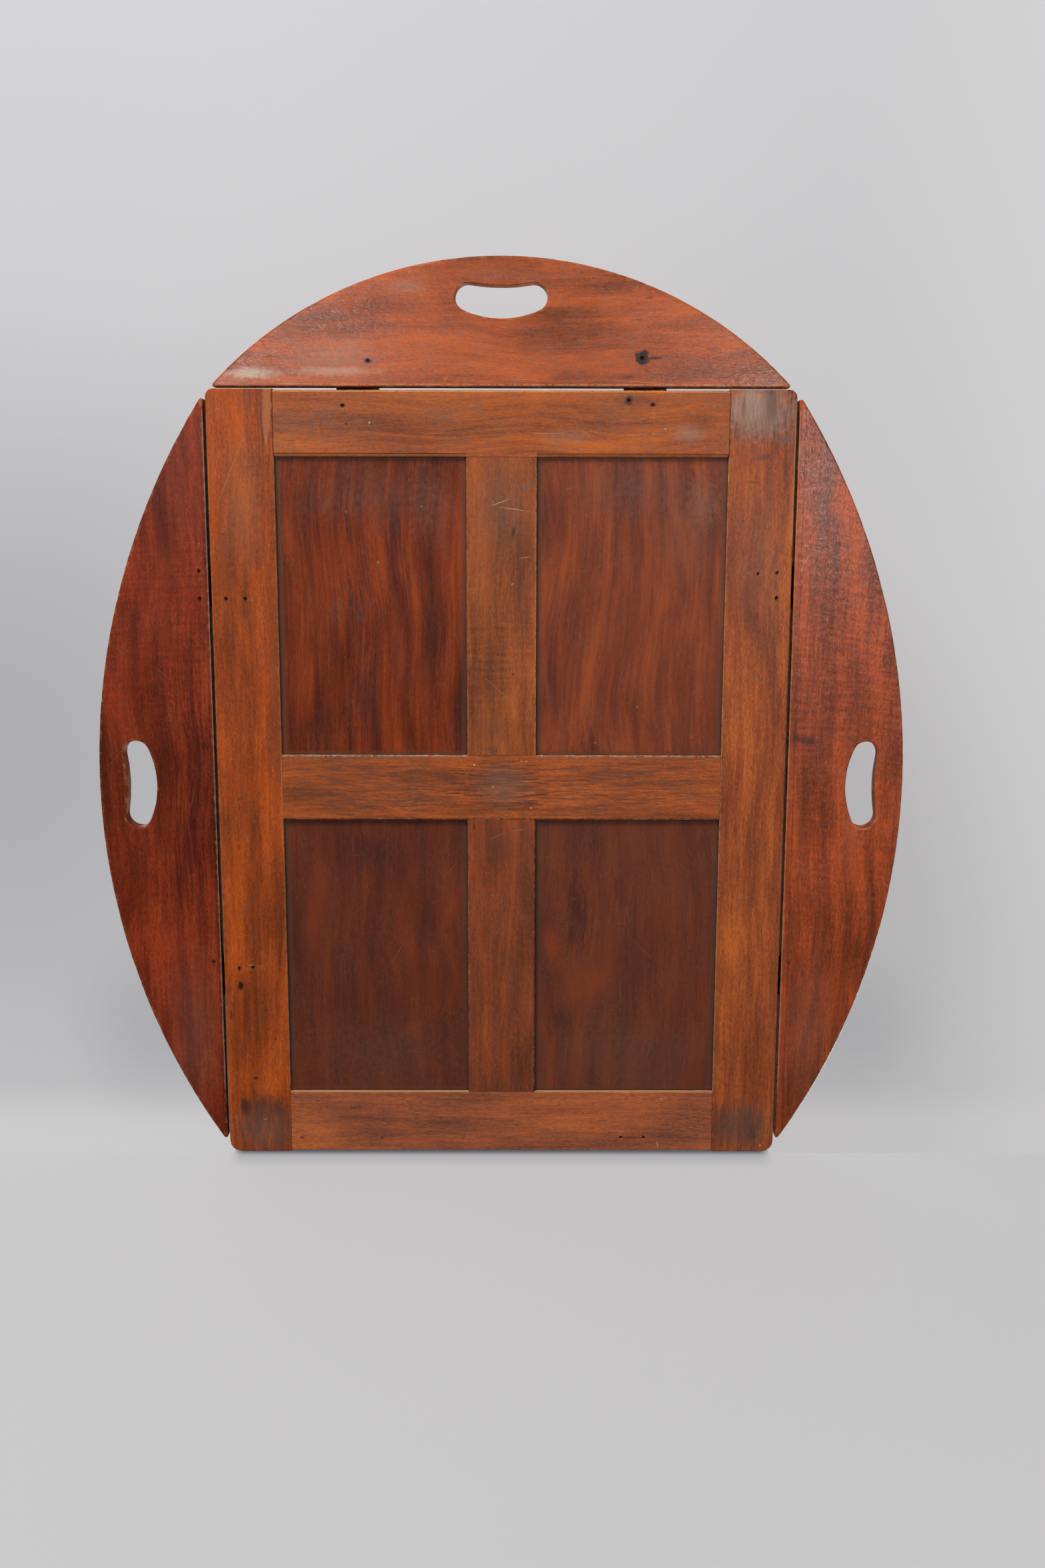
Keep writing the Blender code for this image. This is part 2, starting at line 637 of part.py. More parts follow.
def build():
    for item in list(bpy.data.objects):
        bpy.data.objects.remove(item)
    frame_wood = new_material("frame mahogany", (0.30, 0.095, 0.030), 0.45, 0)
    panel_wood = new_material("panel mahogany", (0.13, 0.030, 0.014), 0.38, 0)
    flap_wood = new_material("flap mahogany", (0.25, 0.065, 0.020), 0.35, 0)
    brass = new_material("brass", (0.60, 0.42, 0.16), 0.35, 1)
    steel = new_material("spring steel", (0.35, 0.34, 0.33), 0.40, 1)

    left_stile = make_stile("left_stile", 1, frame_wood)
    right_stile = make_stile("right_stile", -1, frame_wood)
    top_rail = make_end_rail("top_rail", 1, frame_wood)
    bottom_rail = make_end_rail("bottom_rail", -1, frame_wood)
    make_middle_rail("middle_rail", frame_wood)
    for place, low, high in PANEL_SPANS:
        make_muntin(place + "_muntin", low, high, frame_wood)
        make_panel(place + "_left_panel", 1, low, high, panel_wood)
        make_panel(place + "_right_panel", -1, low, high, panel_wood)

    side_x = FRAME_WIDTH / 2 + SIDE_HINGE_GAP / 2
    end_y = RAIL_END + END_HINGE_GAP / 2
    end_sizes = (END_FLAP_RADIUS, END_FLAP_DEPTH, END_HINGE_ARRIS)
    side_sizes = (SIDE_FLAP_RADIUS, SIDE_FLAP_DEPTH, SIDE_HINGE_ARRIS)
    # Name, wood of the base, pin line, turn about Z, swing, gap, sizes, hinge spacing, shift
    flaps = (
        ("top", top_rail, (0, end_y), 0, 0, END_HINGE_GAP, end_sizes, END_HINGE_PLACE, 0),
        ("bottom", bottom_rail, (0, -end_y), math.pi, QUARTER, END_HINGE_GAP, end_sizes,
         END_HINGE_PLACE, 0),
        ("left", left_stile, (side_x, 0), -QUARTER, 0, SIDE_HINGE_GAP, side_sizes,
         SIDE_HINGE_PLACE, SIDE_FLAP_SHIFT),
        ("right", right_stile, (-side_x, 0), QUARTER, 0, SIDE_HINGE_GAP, side_sizes,
         SIDE_HINGE_PLACE, SIDE_FLAP_SHIFT),
    )
    for name, wood, (x, y), turn, swing, gap, sizes, hinge_place, shift in flaps:
        base_line = new_empty(name + "_base_line", (x, y, PIN_HEIGHT), 0, turn)
        flap_line = new_empty(name + "_flap_line", (x, y, PIN_HEIGHT), swing, turn)
        flap = make_flap(name + "_flap", gap, *sizes, flap_wood, flap_line)
        flap.location.x = shift * math.sin(turn)
        for side in (-1, 1):
            along = side * hinge_place
            world_x = x + along * math.cos(turn)
            world_y = y + along * math.sin(turn)
            if name in ("top", "bottom"):
                end_name = "left" if world_x > 0 else "right"
            else:
                end_name = "upper" if world_y > 0 else "lower"
            make_hinge(f"{name}_{end_name}_hinge", wood, flap, base_line, flap_line, along, gap, brass,
                       steel)


build()
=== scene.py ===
import math

import bmesh
import bpy
from mathutils import Matrix, Vector, noise


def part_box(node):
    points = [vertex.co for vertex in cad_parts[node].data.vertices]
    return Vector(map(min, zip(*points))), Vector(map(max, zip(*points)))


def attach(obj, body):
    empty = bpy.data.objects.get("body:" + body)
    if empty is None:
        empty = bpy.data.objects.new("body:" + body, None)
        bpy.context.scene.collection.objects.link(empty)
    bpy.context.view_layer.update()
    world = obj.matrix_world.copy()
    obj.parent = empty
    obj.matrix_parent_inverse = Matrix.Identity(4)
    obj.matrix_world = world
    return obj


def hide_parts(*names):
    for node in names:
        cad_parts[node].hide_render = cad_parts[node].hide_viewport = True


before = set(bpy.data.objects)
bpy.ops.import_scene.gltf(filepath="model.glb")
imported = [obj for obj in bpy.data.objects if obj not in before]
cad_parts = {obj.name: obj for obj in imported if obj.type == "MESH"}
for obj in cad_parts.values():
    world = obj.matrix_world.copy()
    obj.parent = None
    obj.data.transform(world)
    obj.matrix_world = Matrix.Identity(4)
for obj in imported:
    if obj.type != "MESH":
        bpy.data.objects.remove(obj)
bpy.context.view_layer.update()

# A butler's tray in old mahogany, seen from its underside. Metres, +Z up, the serving face on top.
# Places on the wood are in millimetres as seen from below, so right is at -X.

mm = 0.001
quarter = math.pi / 2
thin = 0.000001               # for merging and for telling which side of a plane a point is on
crisp = math.radians(38)      # edges steeper than this are shaded crisp
cutCrisp = math.radians(40)   # the same for the edges that a cut leaves
steep = 0.7                   # and those steeper than this are eased, in radians
roundSteps = 32               # facets round a turned form or a bore


# Mesh helpers

def finishMesh(name, bm, body=None, nodes=()):
    mesh = bpy.data.meshes.new(name)
    bm.to_mesh(mesh)
    bm.free()
    mesh.shade_smooth()
    mesh.set_sharp_from_angle(angle=crisp)
    piece = bpy.data.objects.new(name, mesh)
    bpy.context.scene.collection.objects.link(piece)
    if body:
        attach(piece, body)
    if nodes:
        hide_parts(*nodes)
    return piece


def cutAway(piece, cutters):
    # Cuts the shapes out of a piece and removes them
    for cutter in cutters:
        modifier = piece.modifiers.new(cutter.name, "BOOLEAN")
        modifier.operation = "DIFFERENCE"
        modifier.object = cutter
    evaluated = piece.evaluated_get(bpy.context.evaluated_depsgraph_get())
    mesh = bpy.data.meshes.new_from_object(evaluated)
    piece.modifiers.clear()
    piece.data = mesh
    bm = bmesh.new()
    bm.from_mesh(mesh)
    gaps = [edge for edge in bm.edges if edge.is_boundary]
    if gaps:                  # slivers that the solver leaves out
        for face in bmesh.ops.holes_fill(bm, edges=gaps, sides=4)["faces"]:
            face.smooth = True
        bmesh.ops.recalc_face_normals(bm, faces=bm.faces)
    for edge in bm.edges:     # the cuts' own edges are crisp
        if edge.is_manifold and edge.calc_face_angle() > cutCrisp:
            edge.smooth = False
    bm.to_mesh(mesh)
    bm.free()
    for cutter in cutters:
        bpy.data.objects.remove(cutter)


def dressed(piece, material):
    # The material, and shading that stays even beside the rounded edges
    piece.data.materials.clear()
    piece.data.materials.append(material)
    modifier = piece.modifiers.new("evenShading", "WEIGHTED_NORMAL")
    modifier.keep_sharp = True


def easeEdges(bm, edges, offset, segments):
    bmesh.ops.bevel(bm, geom=edges, affect="EDGES", offset=offset, segments=segments, profile=0.5,
                    material=-1, clamp_overlap=True)


def dentAt(point, size, fineSize):
    # How deep a dent is at a point, as a share: none on most of the surface
    return max(0.0, noise.noise(point / size) + 0.6 * noise.noise(point / fineSize) - 0.12)


def slice(bm, axis, place):
    normal = Vector((0, 0, 0))
    normal[axis] = 1
    bmesh.ops.bisect_plane(bm, geom=bm.verts[:] + bm.edges[:] + bm.faces[:], dist=thin,
                           plane_co=normal * place, plane_no=normal)


def sliceEvery(bm, axis, low, high, step):
    count = round((high - low) / step)
    for k in range(1, count):
        slice(bm, axis, low + (high - low) * k / count)


def boxCutter(name, low, high, place=Matrix.Identity(4)):
    bm = bmesh.new()
    middle = [(a + b) / 2 for a, b in zip(low, high)]
    size = [b - a for a, b in zip(low, high)]
    bmesh.ops.create_cube(bm, size=1, matrix=place @ Matrix.Translation(middle)
                          @ Matrix.Diagonal((*size, 1)))
    return finishMesh(name, bm)


def barAlongX(radius, length, segments, place=Matrix.Identity(4)):
    bm = bmesh.new()
    bmesh.ops.create_cone(bm, cap_ends=True, segments=segments, radius1=radius, radius2=radius,
                          depth=length, matrix=place @ Matrix.Rotation(quarter, 4, "Y"))
    return bm


def barCutter(name, radius, length, place=Matrix.Identity(4)):
    return finishMesh(name, barAlongX(radius, length, roundSteps, place))


def addTurned(bm, profile, x=0, y=0):
    # A solid turned on an upright axis, from (radius, height) points
    points = [bm.verts.new((x + radius, y, height)) for radius, height in profile]
    edges = [bm.edges.new(pair) for pair in zip(points, points[1:])]
    bmesh.ops.spin(bm, geom=points + edges, cent=(x, y, 0), axis=(0, 0, 1), angle=2 * math.pi,
                   steps=roundSteps, use_merge=True)


def turned(name, profile, x=0, y=0):
    bm = bmesh.new()
    addTurned(bm, profile, x, y)
    bmesh.ops.remove_doubles(bm, verts=bm.verts, dist=thin)
    bmesh.ops.recalc_face_normals(bm, faces=bm.faces)
    return finishMesh(name, bm)


# Material helpers. A socket is fed by another socket or by a plain value.

def newFinish(name):
    material = bpy.data.materials.new(name)
    material.use_nodes = True
    return material, material.node_tree, material.node_tree.nodes["Principled BSDF"]


def feed(tree, socket, value):
    if isinstance(value, bpy.types.NodeSocket):
        tree.links.new(value, socket)
    else:
        socket.default_value = value


def maths(tree, operation, first, second=0.0, clamp=False):
    node = tree.nodes.new("ShaderNodeMath")
    node.operation = operation
    node.use_clamp = clamp
    feed(tree, node.inputs[0], first)
    feed(tree, node.inputs[1], second)
    return node.outputs[0]


def total(tree, first, *others):
    for value in others:
        first = maths(tree, "ADD", first, value)
    return first


def product(tree, first, *others):
    for value in others:
        first = maths(tree, "MULTIPLY", first, value)
    return first


def partsOf(tree, vector):
    node = tree.nodes.new("ShaderNodeSeparateXYZ")
    feed(tree, node.inputs[0], vector)
    return node.outputs


def rescale(tree, value, low, high, newLow=0.0, newHigh=1.0):
    node = tree.nodes.new("ShaderNodeMapRange")
    node.interpolation_type = "SMOOTHSTEP"
    for socket, number in zip(node.inputs, (value, low, high, newLow, newHigh)):
        feed(tree, socket, number)
    return node.outputs[0]


def placed(tree, vector, place=(0, 0, 0), turn=0, size=(1, 1, 1)):
    # The coordinates of a thing that stands at place, turned in plan and as large as size
    node = tree.nodes.new("ShaderNodeMapping")
    node.vector_type = "TEXTURE"
    feed(tree, node.inputs["Vector"], vector)
    node.inputs["Location"].default_value = place
    node.inputs["Rotation"].default_value = (0, 0, math.radians(turn))
    node.inputs["Scale"].default_value = size
    return node.outputs[0]


def cloud(tree, vector, size, detail=2.0, roughness=0.5, place=(0, 0, 0), turn=0, output="Fac"):
    node = tree.nodes.new("ShaderNodeTexNoise")
    feed(tree, node.inputs["Vector"], placed(tree, vector, place, turn, size))
    node.inputs["Scale"].default_value = 1
    node.inputs["Detail"].default_value = detail
    node.inputs["Roughness"].default_value = roughness
    return node.outputs[output]


def lengthOf(tree, vector):
    node = tree.nodes.new("ShaderNodeVectorMath")
    node.operation = "LENGTH"
    feed(tree, node.inputs[0], vector)
    return node.outputs["Value"]


def plusVector(tree, first, second, scale):
    node = tree.nodes.new("ShaderNodeVectorMath")
    node.operation = "MULTIPLY_ADD"
    feed(tree, node.inputs[0], second)
    node.inputs[1].default_value = scale
    feed(tree, node.inputs[2], first)
    return node.outputs[0]


def coloured(tree, factor, first, second, kind="MIX"):
    node = tree.nodes.new("ShaderNodeMix")
    node.data_type = "RGBA"
    node.blend_type = kind
    feed(tree, node.inputs[0], factor)
    feed(tree, node.inputs[6], first)
    feed(tree, node.inputs[7], second)
    return node.outputs[2]


def mixedShaders(tree, share, first, second):
    node = tree.nodes.new("ShaderNodeMixShader")
    for socket, output in zip(node.inputs, (share, first, second)):
        tree.links.new(output, socket)
    return node.outputs[0]


def roughen(tree, shader, height, strength, distance):
    bump = tree.nodes.new("ShaderNodeBump")
    bump.inputs["Strength"].default_value = strength
    bump.inputs["Distance"].default_value = distance
    feed(tree, bump.inputs["Height"], height)
    feed(tree, shader.inputs["Normal"], bump.outputs[0])


def screenColour(red, green, blue, brightness=1.0):
    # A colour as read on a screen, made linear
    shares = [value / 255 for value in (red, green, blue)]
    linear = [s / 12.92 if s <= 0.04045 else ((s + 0.055) / 1.055) ** 2.4 for s in shares]
    return tuple(value * brightness for value in linear) + (1,)


def shades(tree, value, colours):
    # colours: (share, colour) from dark to light
    node = tree.nodes.new("ShaderNodeValToRGB")
    stops = node.color_ramp.elements
    while len(stops) < len(colours):
        stops.new(0.5)
    for stop, (share, colour) in zip(stops, colours):
        stop.position = share
        stop.color = colour
    feed(tree, node.inputs[0], value)
    return node.outputs[0]


# Finish of the wood

# Tints for the wood. Some of them also paint light where they are used: shade, shadows, sheen and
# highlights, as noted there.
tints = {
    "sootAndShade": screenColour(20, 15, 14),
    "stainAndShade": screenColour(46, 28, 22),
    "umber": screenColour(78, 38, 26),
    "wine": screenColour(60, 18, 12),
    "violet": screenColour(66, 34, 32),
    "slate": screenColour(92, 62, 52),
    "ember": screenColour(146, 62, 30),
    "glow": screenColour(176, 86, 42),
    "honey": screenColour(200, 128, 76),
    "bare": screenColour(214, 164, 116),
    "bloomAndSheen": screenColour(158, 128, 112),
    "dust": screenColour(88, 66, 54),
    "hazeAndSheen": screenColour(112, 88, 76),
    "chalkAndHighlight": screenColour(204, 180, 156),
    "iron": screenColour(96, 92, 88),
}

grain = {
    # How wide and how long each layer of the figure is, in mm, and how much it shifts the tone
    "fine": (0.8, 14, 0.8), "fineShare": 0.42,
    "strand": (2.8, 60, 2.8), "strandShare": 0.36,
    "broad": (14, 170, 14), "broadShare": 0.55,
    "blotch": (34, 110, 34), "blotchShare": 0.48,
    "grit": (1.1, 3.2, 1.1), "gritShare": 0.75, "streak": (1.7, 24, 1.7),
    "fleck": (0.9, 6.5, 0.9), "pore": (0.45, 4.5, 0.45), "poreDepth": 0.34,
    "ripple": (34, 3.6, 34),
    "scratch": (0.45, 46, 0.45), "scratchShare": 0.16,
    "speckSpacing": 24, "speckRadius": 0.4,
    # Sizes of the patches in which the finish changes
    "drift": (150, 150, 150), "crowd": (22, 40, 22), "patchy": (60, 60, 60), "ragged": (5, 5, 5),
    "broken": (3.2, 3.2, 3.2), "rubbed": (7, 7, 7),
    # Between which values of its cloud each of them sets in
    "crowdBand": (0.35, 0.65), "crowdLeast": 0.35, "fleckBand": (0.46, 0.64), "poreBand": (0.58, 0.74),
    "patchyBand": (0.35, 0.65), "scratchBand": (0.74, 0.80), "streakBand": (0.42, 0.58),
    "brokenBand": (0.62, 0.70), "brokenShift": 0.4, "rubbedBand": (0.46, 0.66),
    "speckEdge": (0.6, 1.3),              # as shares of its radius
    # How much the outlines of what is painted on the wood are torn by the layers, and their soft shares
    "figureTorn": 1.3, "streakTorn": 1.2, "streakSoft": 0.5, "marksTorn": 0.9, "linesTorn": 0.5,
    "linesSoft": 0.7, "edgeCore": 0.4,
    # How much each layer adds to the roughness and to the height
    "blotchRough": 0.3, "raggedRough": 0.25, "poreRough": 0.2,
    "poreHeight": -0.5, "fineHeight": 0.5, "bumpStrength": 0.6,
    "stops": (0.26, 0.5, 0.74),           # where the three tones of a look stand
    "rippleFade": 30, "scratchTurns": (8, 52, -38, 84), "bump": 0.0003,
    "undersideHeight": 12,                # up to here the wood is as it is on the underside
}
anyHeight = 9                 # half height of a patch, more than the wood is thick

plainLook = {
    "turn": 0, "seed": 1, "wander": 4, "tones": ((94, 45, 31), (138, 66, 38), (178, 93, 44)),
    "fleckTint": "slate", "flecks": 0.5, "ripple": (), "contrast": 1.3, "fineness": 0.65,
    "roughness": 0.42, "gloss": 0.2, "specks": 0.30, "scratches": 0.6, "wear": "honey",
    "wearShare": 0.35, "orangePeel": 0.8, "serving": 0.92,
    "figure": (), "streaks": (), "marks": (), "scratchMarks": (), "edges": (),
}


def paintPatch(tree, colour, vector, ragged, amount, x, y, halfX, halfY, strength, tint, soft=0.9, turn=0):
    reach = lengthOf(tree, placed(tree, vector, (x, y, 0), turn, (halfX, halfY, anyHeight)))
    reach = total(tree, reach, product(tree, ragged, amount))
    return coloured(tree, rescale(tree, reach, 1.0 - soft, 1.0, strength, 0.0), colour, tints[tint])


def paintPatches(tree, colour, vector, ragged, amount, patches):
    # patches: place across and up, half sizes, strength and tint, and maybe softness and turn
    for patch in patches:
        colour = paintPatch(tree, colour, vector, ragged, amount, *patch)
    return colour


def mahogany(name, **changes):
    look = {**plainLook, **changes}
    material, tree, shader = newFinish(name)
    seed = look["seed"]
    seen = placed(tree, tree.nodes.new("ShaderNodeTexCoord").outputs["Object"], size=(-mm, mm, mm))
    parts = partsOf(tree, seen)
    drift = cloud(tree, seen, grain["drift"], 1.0, place=(seed * 131, seed * 57, seed * 311), output="Color")
    centred = plusVector(tree, drift, (-0.5, -0.5, -0.5), (1, 1, 1))
    bent = plusVector(tree, seen, centred, (look["wander"] * 4,) * 3)
    wood = placed(tree, bent, (seed * 171, seed * 93, seed * 57), look["turn"])

    def layer(size, detail=2.0, roughness=0.5):
        return maths(tree, "SUBTRACT", cloud(tree, wood, grain[size], detail, roughness), 0.5)

    fine = layer("fine", 3.0, 0.6)
    strand = layer("strand", 3.0)
    blotch = layer("blotch", 3.0)
    grit = layer("grit", 3.0, 0.7)
    contrast, sharpness = look["contrast"], look["contrast"] * look["fineness"]
    tone = product(tree, fine, grain["fineShare"] * sharpness)
    for value, share in ((grit, grain["gritShare"] * sharpness), (strand, grain["strandShare"] * contrast),
                         (layer("broad"), grain["broadShare"] * contrast),
                         (blotch, grain["blotchShare"] * contrast)):
        tone = total(tree, tone, product(tree, value, share))
    for strength, low, high, lean in look["ripple"]:
        # Fiddleback: bands across the grain, between two heights
        waves = placed(tree, bent, (0, seed * 11, 0), lean)
        waves = maths(tree, "SUBTRACT", cloud(tree, waves, grain["ripple"], 1.0), 0.5)
        fade = grain["rippleFade"]
        fadeIn = rescale(tree, parts[1], low - fade, low + fade)
        fadeOut = rescale(tree, parts[1], high - fade, high + fade, strength, 0.0)
        tone = total(tree, tone, product(tree, waves, product(tree, fadeIn, fadeOut)))
    tone = total(tree, tone, 0.5)
    stops = zip(grain["stops"], look["tones"])
    colour = shades(tree, tone, [(share, screenColour(*tint)) for share, tint in stops])

    # Figure, whose edges run out along the grain; on some pieces a painted sheen too
    colour = paintPatches(tree, colour, bent, total(tree, strand, fine), grain["figureTorn"], look["figure"])

    # Short grey-brown flecks in uneven crowds, and finer dark pores
    crowd = cloud(tree, wood, grain["crowd"], 1.0, place=(90, 0, 0))
    crowd = rescale(tree, crowd, *grain["crowdBand"], grain["crowdLeast"], 1.0)
    fleck = cloud(tree, wood, grain["fleck"], 2.0, 0.6)
    fleck = rescale(tree, fleck, *grain["fleckBand"], 0.0, look["flecks"])
    colour = coloured(tree, product(tree, fleck, crowd), colour, tints[look["fleckTint"]])
    pores = rescale(tree, cloud(tree, wood, grain["pore"], 1.0), *grain["poreBand"])
    darkened = product(tree, pores, grain["poreDepth"] * look["fineness"])
    colour = coloured(tree, darkened, colour, tints["stainAndShade"])

    # Handling on the side seen from below: scratches, specks, marks, worn edges; some marks and edge lines
    # are painted shade, sheen and highlights
    ragged = cloud(tree, seen, grain["ragged"], 3.0, 0.6, place=(seed * 7, 0, 0))
    ragged = maths(tree, "SUBTRACT", ragged, 0.5)
    used = colour
    patchy = cloud(tree, seen, grain["patchy"], 1.0, place=(0, seed * 37, 0))
    patchy = rescale(tree, patchy, *grain["patchyBand"])
    for turn in grain["scratchTurns"]:
        line = cloud(tree, bent, grain["scratch"], 0.0, place=(seed * 19 + turn, 0, 0), turn=turn)
        depth = grain["scratchShare"] * look["scratches"]
        share = product(tree, rescale(tree, line, *grain["scratchBand"]), patchy, depth)
        used = coloured(tree, share, used, tints["bare"])
    speck = tree.nodes.new("ShaderNodeTexVoronoi")
    spacing = grain["speckSpacing"]
    feed(tree, speck.inputs["Vector"], placed(tree, seen, (seed * 41, 0, 0), 0, (spacing,) * 3))
    speck.inputs["Scale"].default_value = 1
    inner, outer = [grain["speckRadius"] / spacing * share for share in grain["speckEdge"]]
    share = rescale(tree, speck.outputs["Distance"], inner, outer, look["specks"], 0.0)
    used = coloured(tree, share, used, tints["chalkAndHighlight"])
    for x, y, halfX, halfY, strength, tint in look["streaks"]:
        # Stretches of weathered wood, in lines along the grain
        reach = lengthOf(tree, placed(tree, seen, (x, y, 0), 0, (halfX, halfY, anyHeight)))
        reach = total(tree, reach, product(tree, strand, grain["streakTorn"]))
        share = rescale(tree, reach, 1.0 - grain["streakSoft"], 1.0, strength, 0.0)
        line = cloud(tree, wood, grain["streak"], 3.0, 0.65, place=(50, 0, 0))
        share = product(tree, share, rescale(tree, line, *grain["streakBand"]))
        used = coloured(tree, share, used, tints[tint])
    used = paintPatches(tree, used, seen, ragged, grain["marksTorn"], look["marks"])
    lines = []
    for x1, y1, x2, y2, width, strength, tint in look["scratchMarks"]:
        turn = math.degrees(math.atan2(y2 - y1, x2 - x1))
        half = math.hypot(x2 - x1, y2 - y1) / 2
        lines.append(((x1 + x2) / 2, (y1 + y2) / 2, half, width / 2, strength, tint, grain["linesSoft"],
                      turn))
    used = paintPatches(tree, used, seen, ragged, grain["linesTorn"], lines)
    broken = cloud(tree, seen, grain["broken"], 2.0, 0.6, place=(0, 0, seed * 23))
    for axis, place, low, high, width, wholeness, strength, tint in look["edges"]:
        # A line along an edge, broken up where wholeness is low
        across = maths(tree, "ABSOLUTE", maths(tree, "SUBTRACT", parts[axis], place))
        band = [value - grain["brokenShift"] * wholeness for value in grain["brokenBand"]]
        share = product(tree, rescale(tree, across, width * grain["edgeCore"], width, strength, 0.0),
                        maths(tree, "GREATER_THAN", parts[1 - axis], low),
                        maths(tree, "LESS_THAN", parts[1 - axis], high),
                        rescale(tree, broken, *band))
        used = coloured(tree, share, used, tints[tint])

    below = maths(tree, "LESS_THAN", parts[2], grain["undersideHeight"])
    clean = coloured(tree, 1.0, colour, (look["serving"],) * 3 + (1,), "MULTIPLY")
    arris = tree.nodes.new("ShaderNodeAttribute")
    arris.attribute_name = "arris"
    rubbed = cloud(tree, seen, grain["rubbed"], 3.0, 0.65, place=(seed, 0, seed))
    rubbed = product(tree, rescale(tree, rubbed, *grain["rubbedBand"]), arris.outputs["Fac"],
                     look["wearShare"])
    feed(tree, shader.inputs["Base Color"],
         coloured(tree, rubbed, coloured(tree, below, clean, used), tints[look["wear"]]))

    rough = total(tree, product(tree, blotch, grain["blotchRough"]),
                  product(tree, ragged, grain["raggedRough"]), product(tree, pores, grain["poreRough"]))
    feed(tree, shader.inputs["Roughness"], maths(tree, "ADD", rough, look["roughness"], clamp=True))
    shader.inputs["Specular IOR Level"].default_value = look["gloss"]
    height = total(tree, product(tree, pores, grain["poreHeight"]), product(tree, fine, grain["fineHeight"]),
                   strand, product(tree, ragged, look["orangePeel"]))
    roughen(tree, shader, height, grain["bumpStrength"], grain["bump"])
    return material


# Metals

metalShape = {
    "tarnish": (11, 11, 11), "tarnishBand": (0.36, 0.70), "tarnishRough": 0.22,
    "brushed": (0.25, 6, 0.25), "brushedRough": 0.15, "leastRough": -0.1,
    "gapShade": (11.0, 15.0), "gapShadeShare": 0.88, "bump": 0.00006, "bumpStrength": 0.25,
}


def agedMetal(name, bright, dull, roughness):
    material, tree, shader = newFinish(name)
    place = placed(tree, tree.nodes.new("ShaderNodeTexCoord").outputs["Object"], size=(mm, mm, mm))
    tarnish = cloud(tree, place, metalShape["tarnish"], 5.0, 0.62)
    brushed = cloud(tree, place, metalShape["brushed"], 2.0)
    share = rescale(tree, tarnish, *metalShape["tarnishBand"])
    # Painted shade on the metal that lies below the serving face, in the joint gaps
    gapShade = rescale(tree, partsOf(tree, place)[2], *metalShape["gapShade"], metalShape["gapShadeShare"], 0.0)
    colour = coloured(tree, gapShade, coloured(tree, share, bright, dull), tints["stainAndShade"])
    feed(tree, shader.inputs["Base Color"], colour)
    rough = total(tree, product(tree, share, metalShape["tarnishRough"]),
                  product(tree, brushed, metalShape["brushedRough"]))
    least = roughness + metalShape["leastRough"]
    feed(tree, shader.inputs["Roughness"], maths(tree, "ADD", rough, least, clamp=True))
    shader.inputs["Metallic"].default_value = 1
    roughen(tree, shader, total(tree, brushed, tarnish), metalShape["bumpStrength"], metalShape["bump"])
    return material


brass = agedMetal("agedBrass", screenColour(204, 170, 104), screenColour(150, 116, 66), 0.36)
steel = agedMetal("springSteel", screenColour(150, 148, 144), screenColour(92, 86, 80), 0.42)
screwSteel = agedMetal("screwSteel", screenColour(142, 136, 126), screenColour(88, 80, 70), 0.46)

# Base frame: copies of the solids with finer, dented edges

frameShape = {
    "sliceLength": 0.0035, "recessEdge": 0.0005, "recessEdgeSteps": 3, "recessReach": 0.003,
    "recessHeight": 0.0013, "outerMargin": 0.01, "arris": 0.0018, "rowInside": 0.0026,
    "dentDepth": 0.00045, "dentSizes": (0.008, 0.0031), "dentsTo": 0.0019,
    "panelBow": 0.0004, "panelWave": 0.09, "panelGrid": 0.012,
}

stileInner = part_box("left_stile")[0].x
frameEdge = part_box("left_stile")[1].x
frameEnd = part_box("left_stile")[1].y
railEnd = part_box("top_rail")[1].y
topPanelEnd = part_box("top_rail")[0].y
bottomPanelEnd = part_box("bottom_rail")[1].y
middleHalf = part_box("middle_rail")[1].y
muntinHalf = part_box("upper_muntin")[1].x
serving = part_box("top_rail")[1].z
panelSpans = ((bottomPanelEnd, -middleHalf), (middleHalf, topPanelEnd))
besideMuntin = ((-stileInner, -muntinHalf), (muntinHalf, stileInner))


# Tips of the hinges' screws that have come through the underside, each at the bottom of a small crater
tipShape = {
    "radius": 0.0008, "height": 0.0017, "blunt": 0.0003, "sunk": 0.0001,
    "crater": 0.0020, "craterSlope": 1.2, "depth": 0.0016,
}
screwTips = {
    "left_stile": ((-253, 176), (-235.5, 176), (-252, -177), (-238.5, -176)),
    "right_stile": ((235.5, 199.5), (253, 200.5), (253, 177.5)),
    "top_rail": ((-143, 349), (114.7, 354), (136.5, 350)),
    "bottom_rail": ((117, -349), (139, -349)),
    "top_flap": ((126, 391), (-119.5, 388)),
    "left_flap": ((-277.5, 201), (-277.5, 176), (-276.5, -171)),
}
tipMeshes = {}                # one for each body that has tips


def showTips(node, piece, body):
    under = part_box(node)[0].z
    wide, deep = tipShape["crater"], tipShape["depth"]
    radius, blunt = tipShape["radius"], tipShape["blunt"]
    low, high = under + tipShape["sunk"], under + tipShape["height"]
    craters = []
    for x, y in screwTips.get(node, ()):
        place = (-x * mm, y * mm)
        craters.append(turned("crater", [
            (0, under - wide), (wide * tipShape["craterSlope"], under - wide), (wide, under),
            (blunt, under + deep), (0, under + deep)], *place))
        if body not in tipMeshes:
            tipMeshes[body] = bmesh.new()
        bm = tipMeshes[body]
        addTurned(bm, [(0, low), (blunt, low + blunt / 2), (radius, high), (0, high)], *place)
    if craters:
        cutAway(piece, craters)


def copyOfNode(node):
    bm = bmesh.new()
    bm.from_mesh(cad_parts[node].data)
    bmesh.ops.remove_doubles(bm, verts=bm.verts, dist=thin)
    bmesh.ops.dissolve_limit(bm, angle_limit=math.radians(0.5), verts=bm.verts, edges=bm.edges)
    return bm


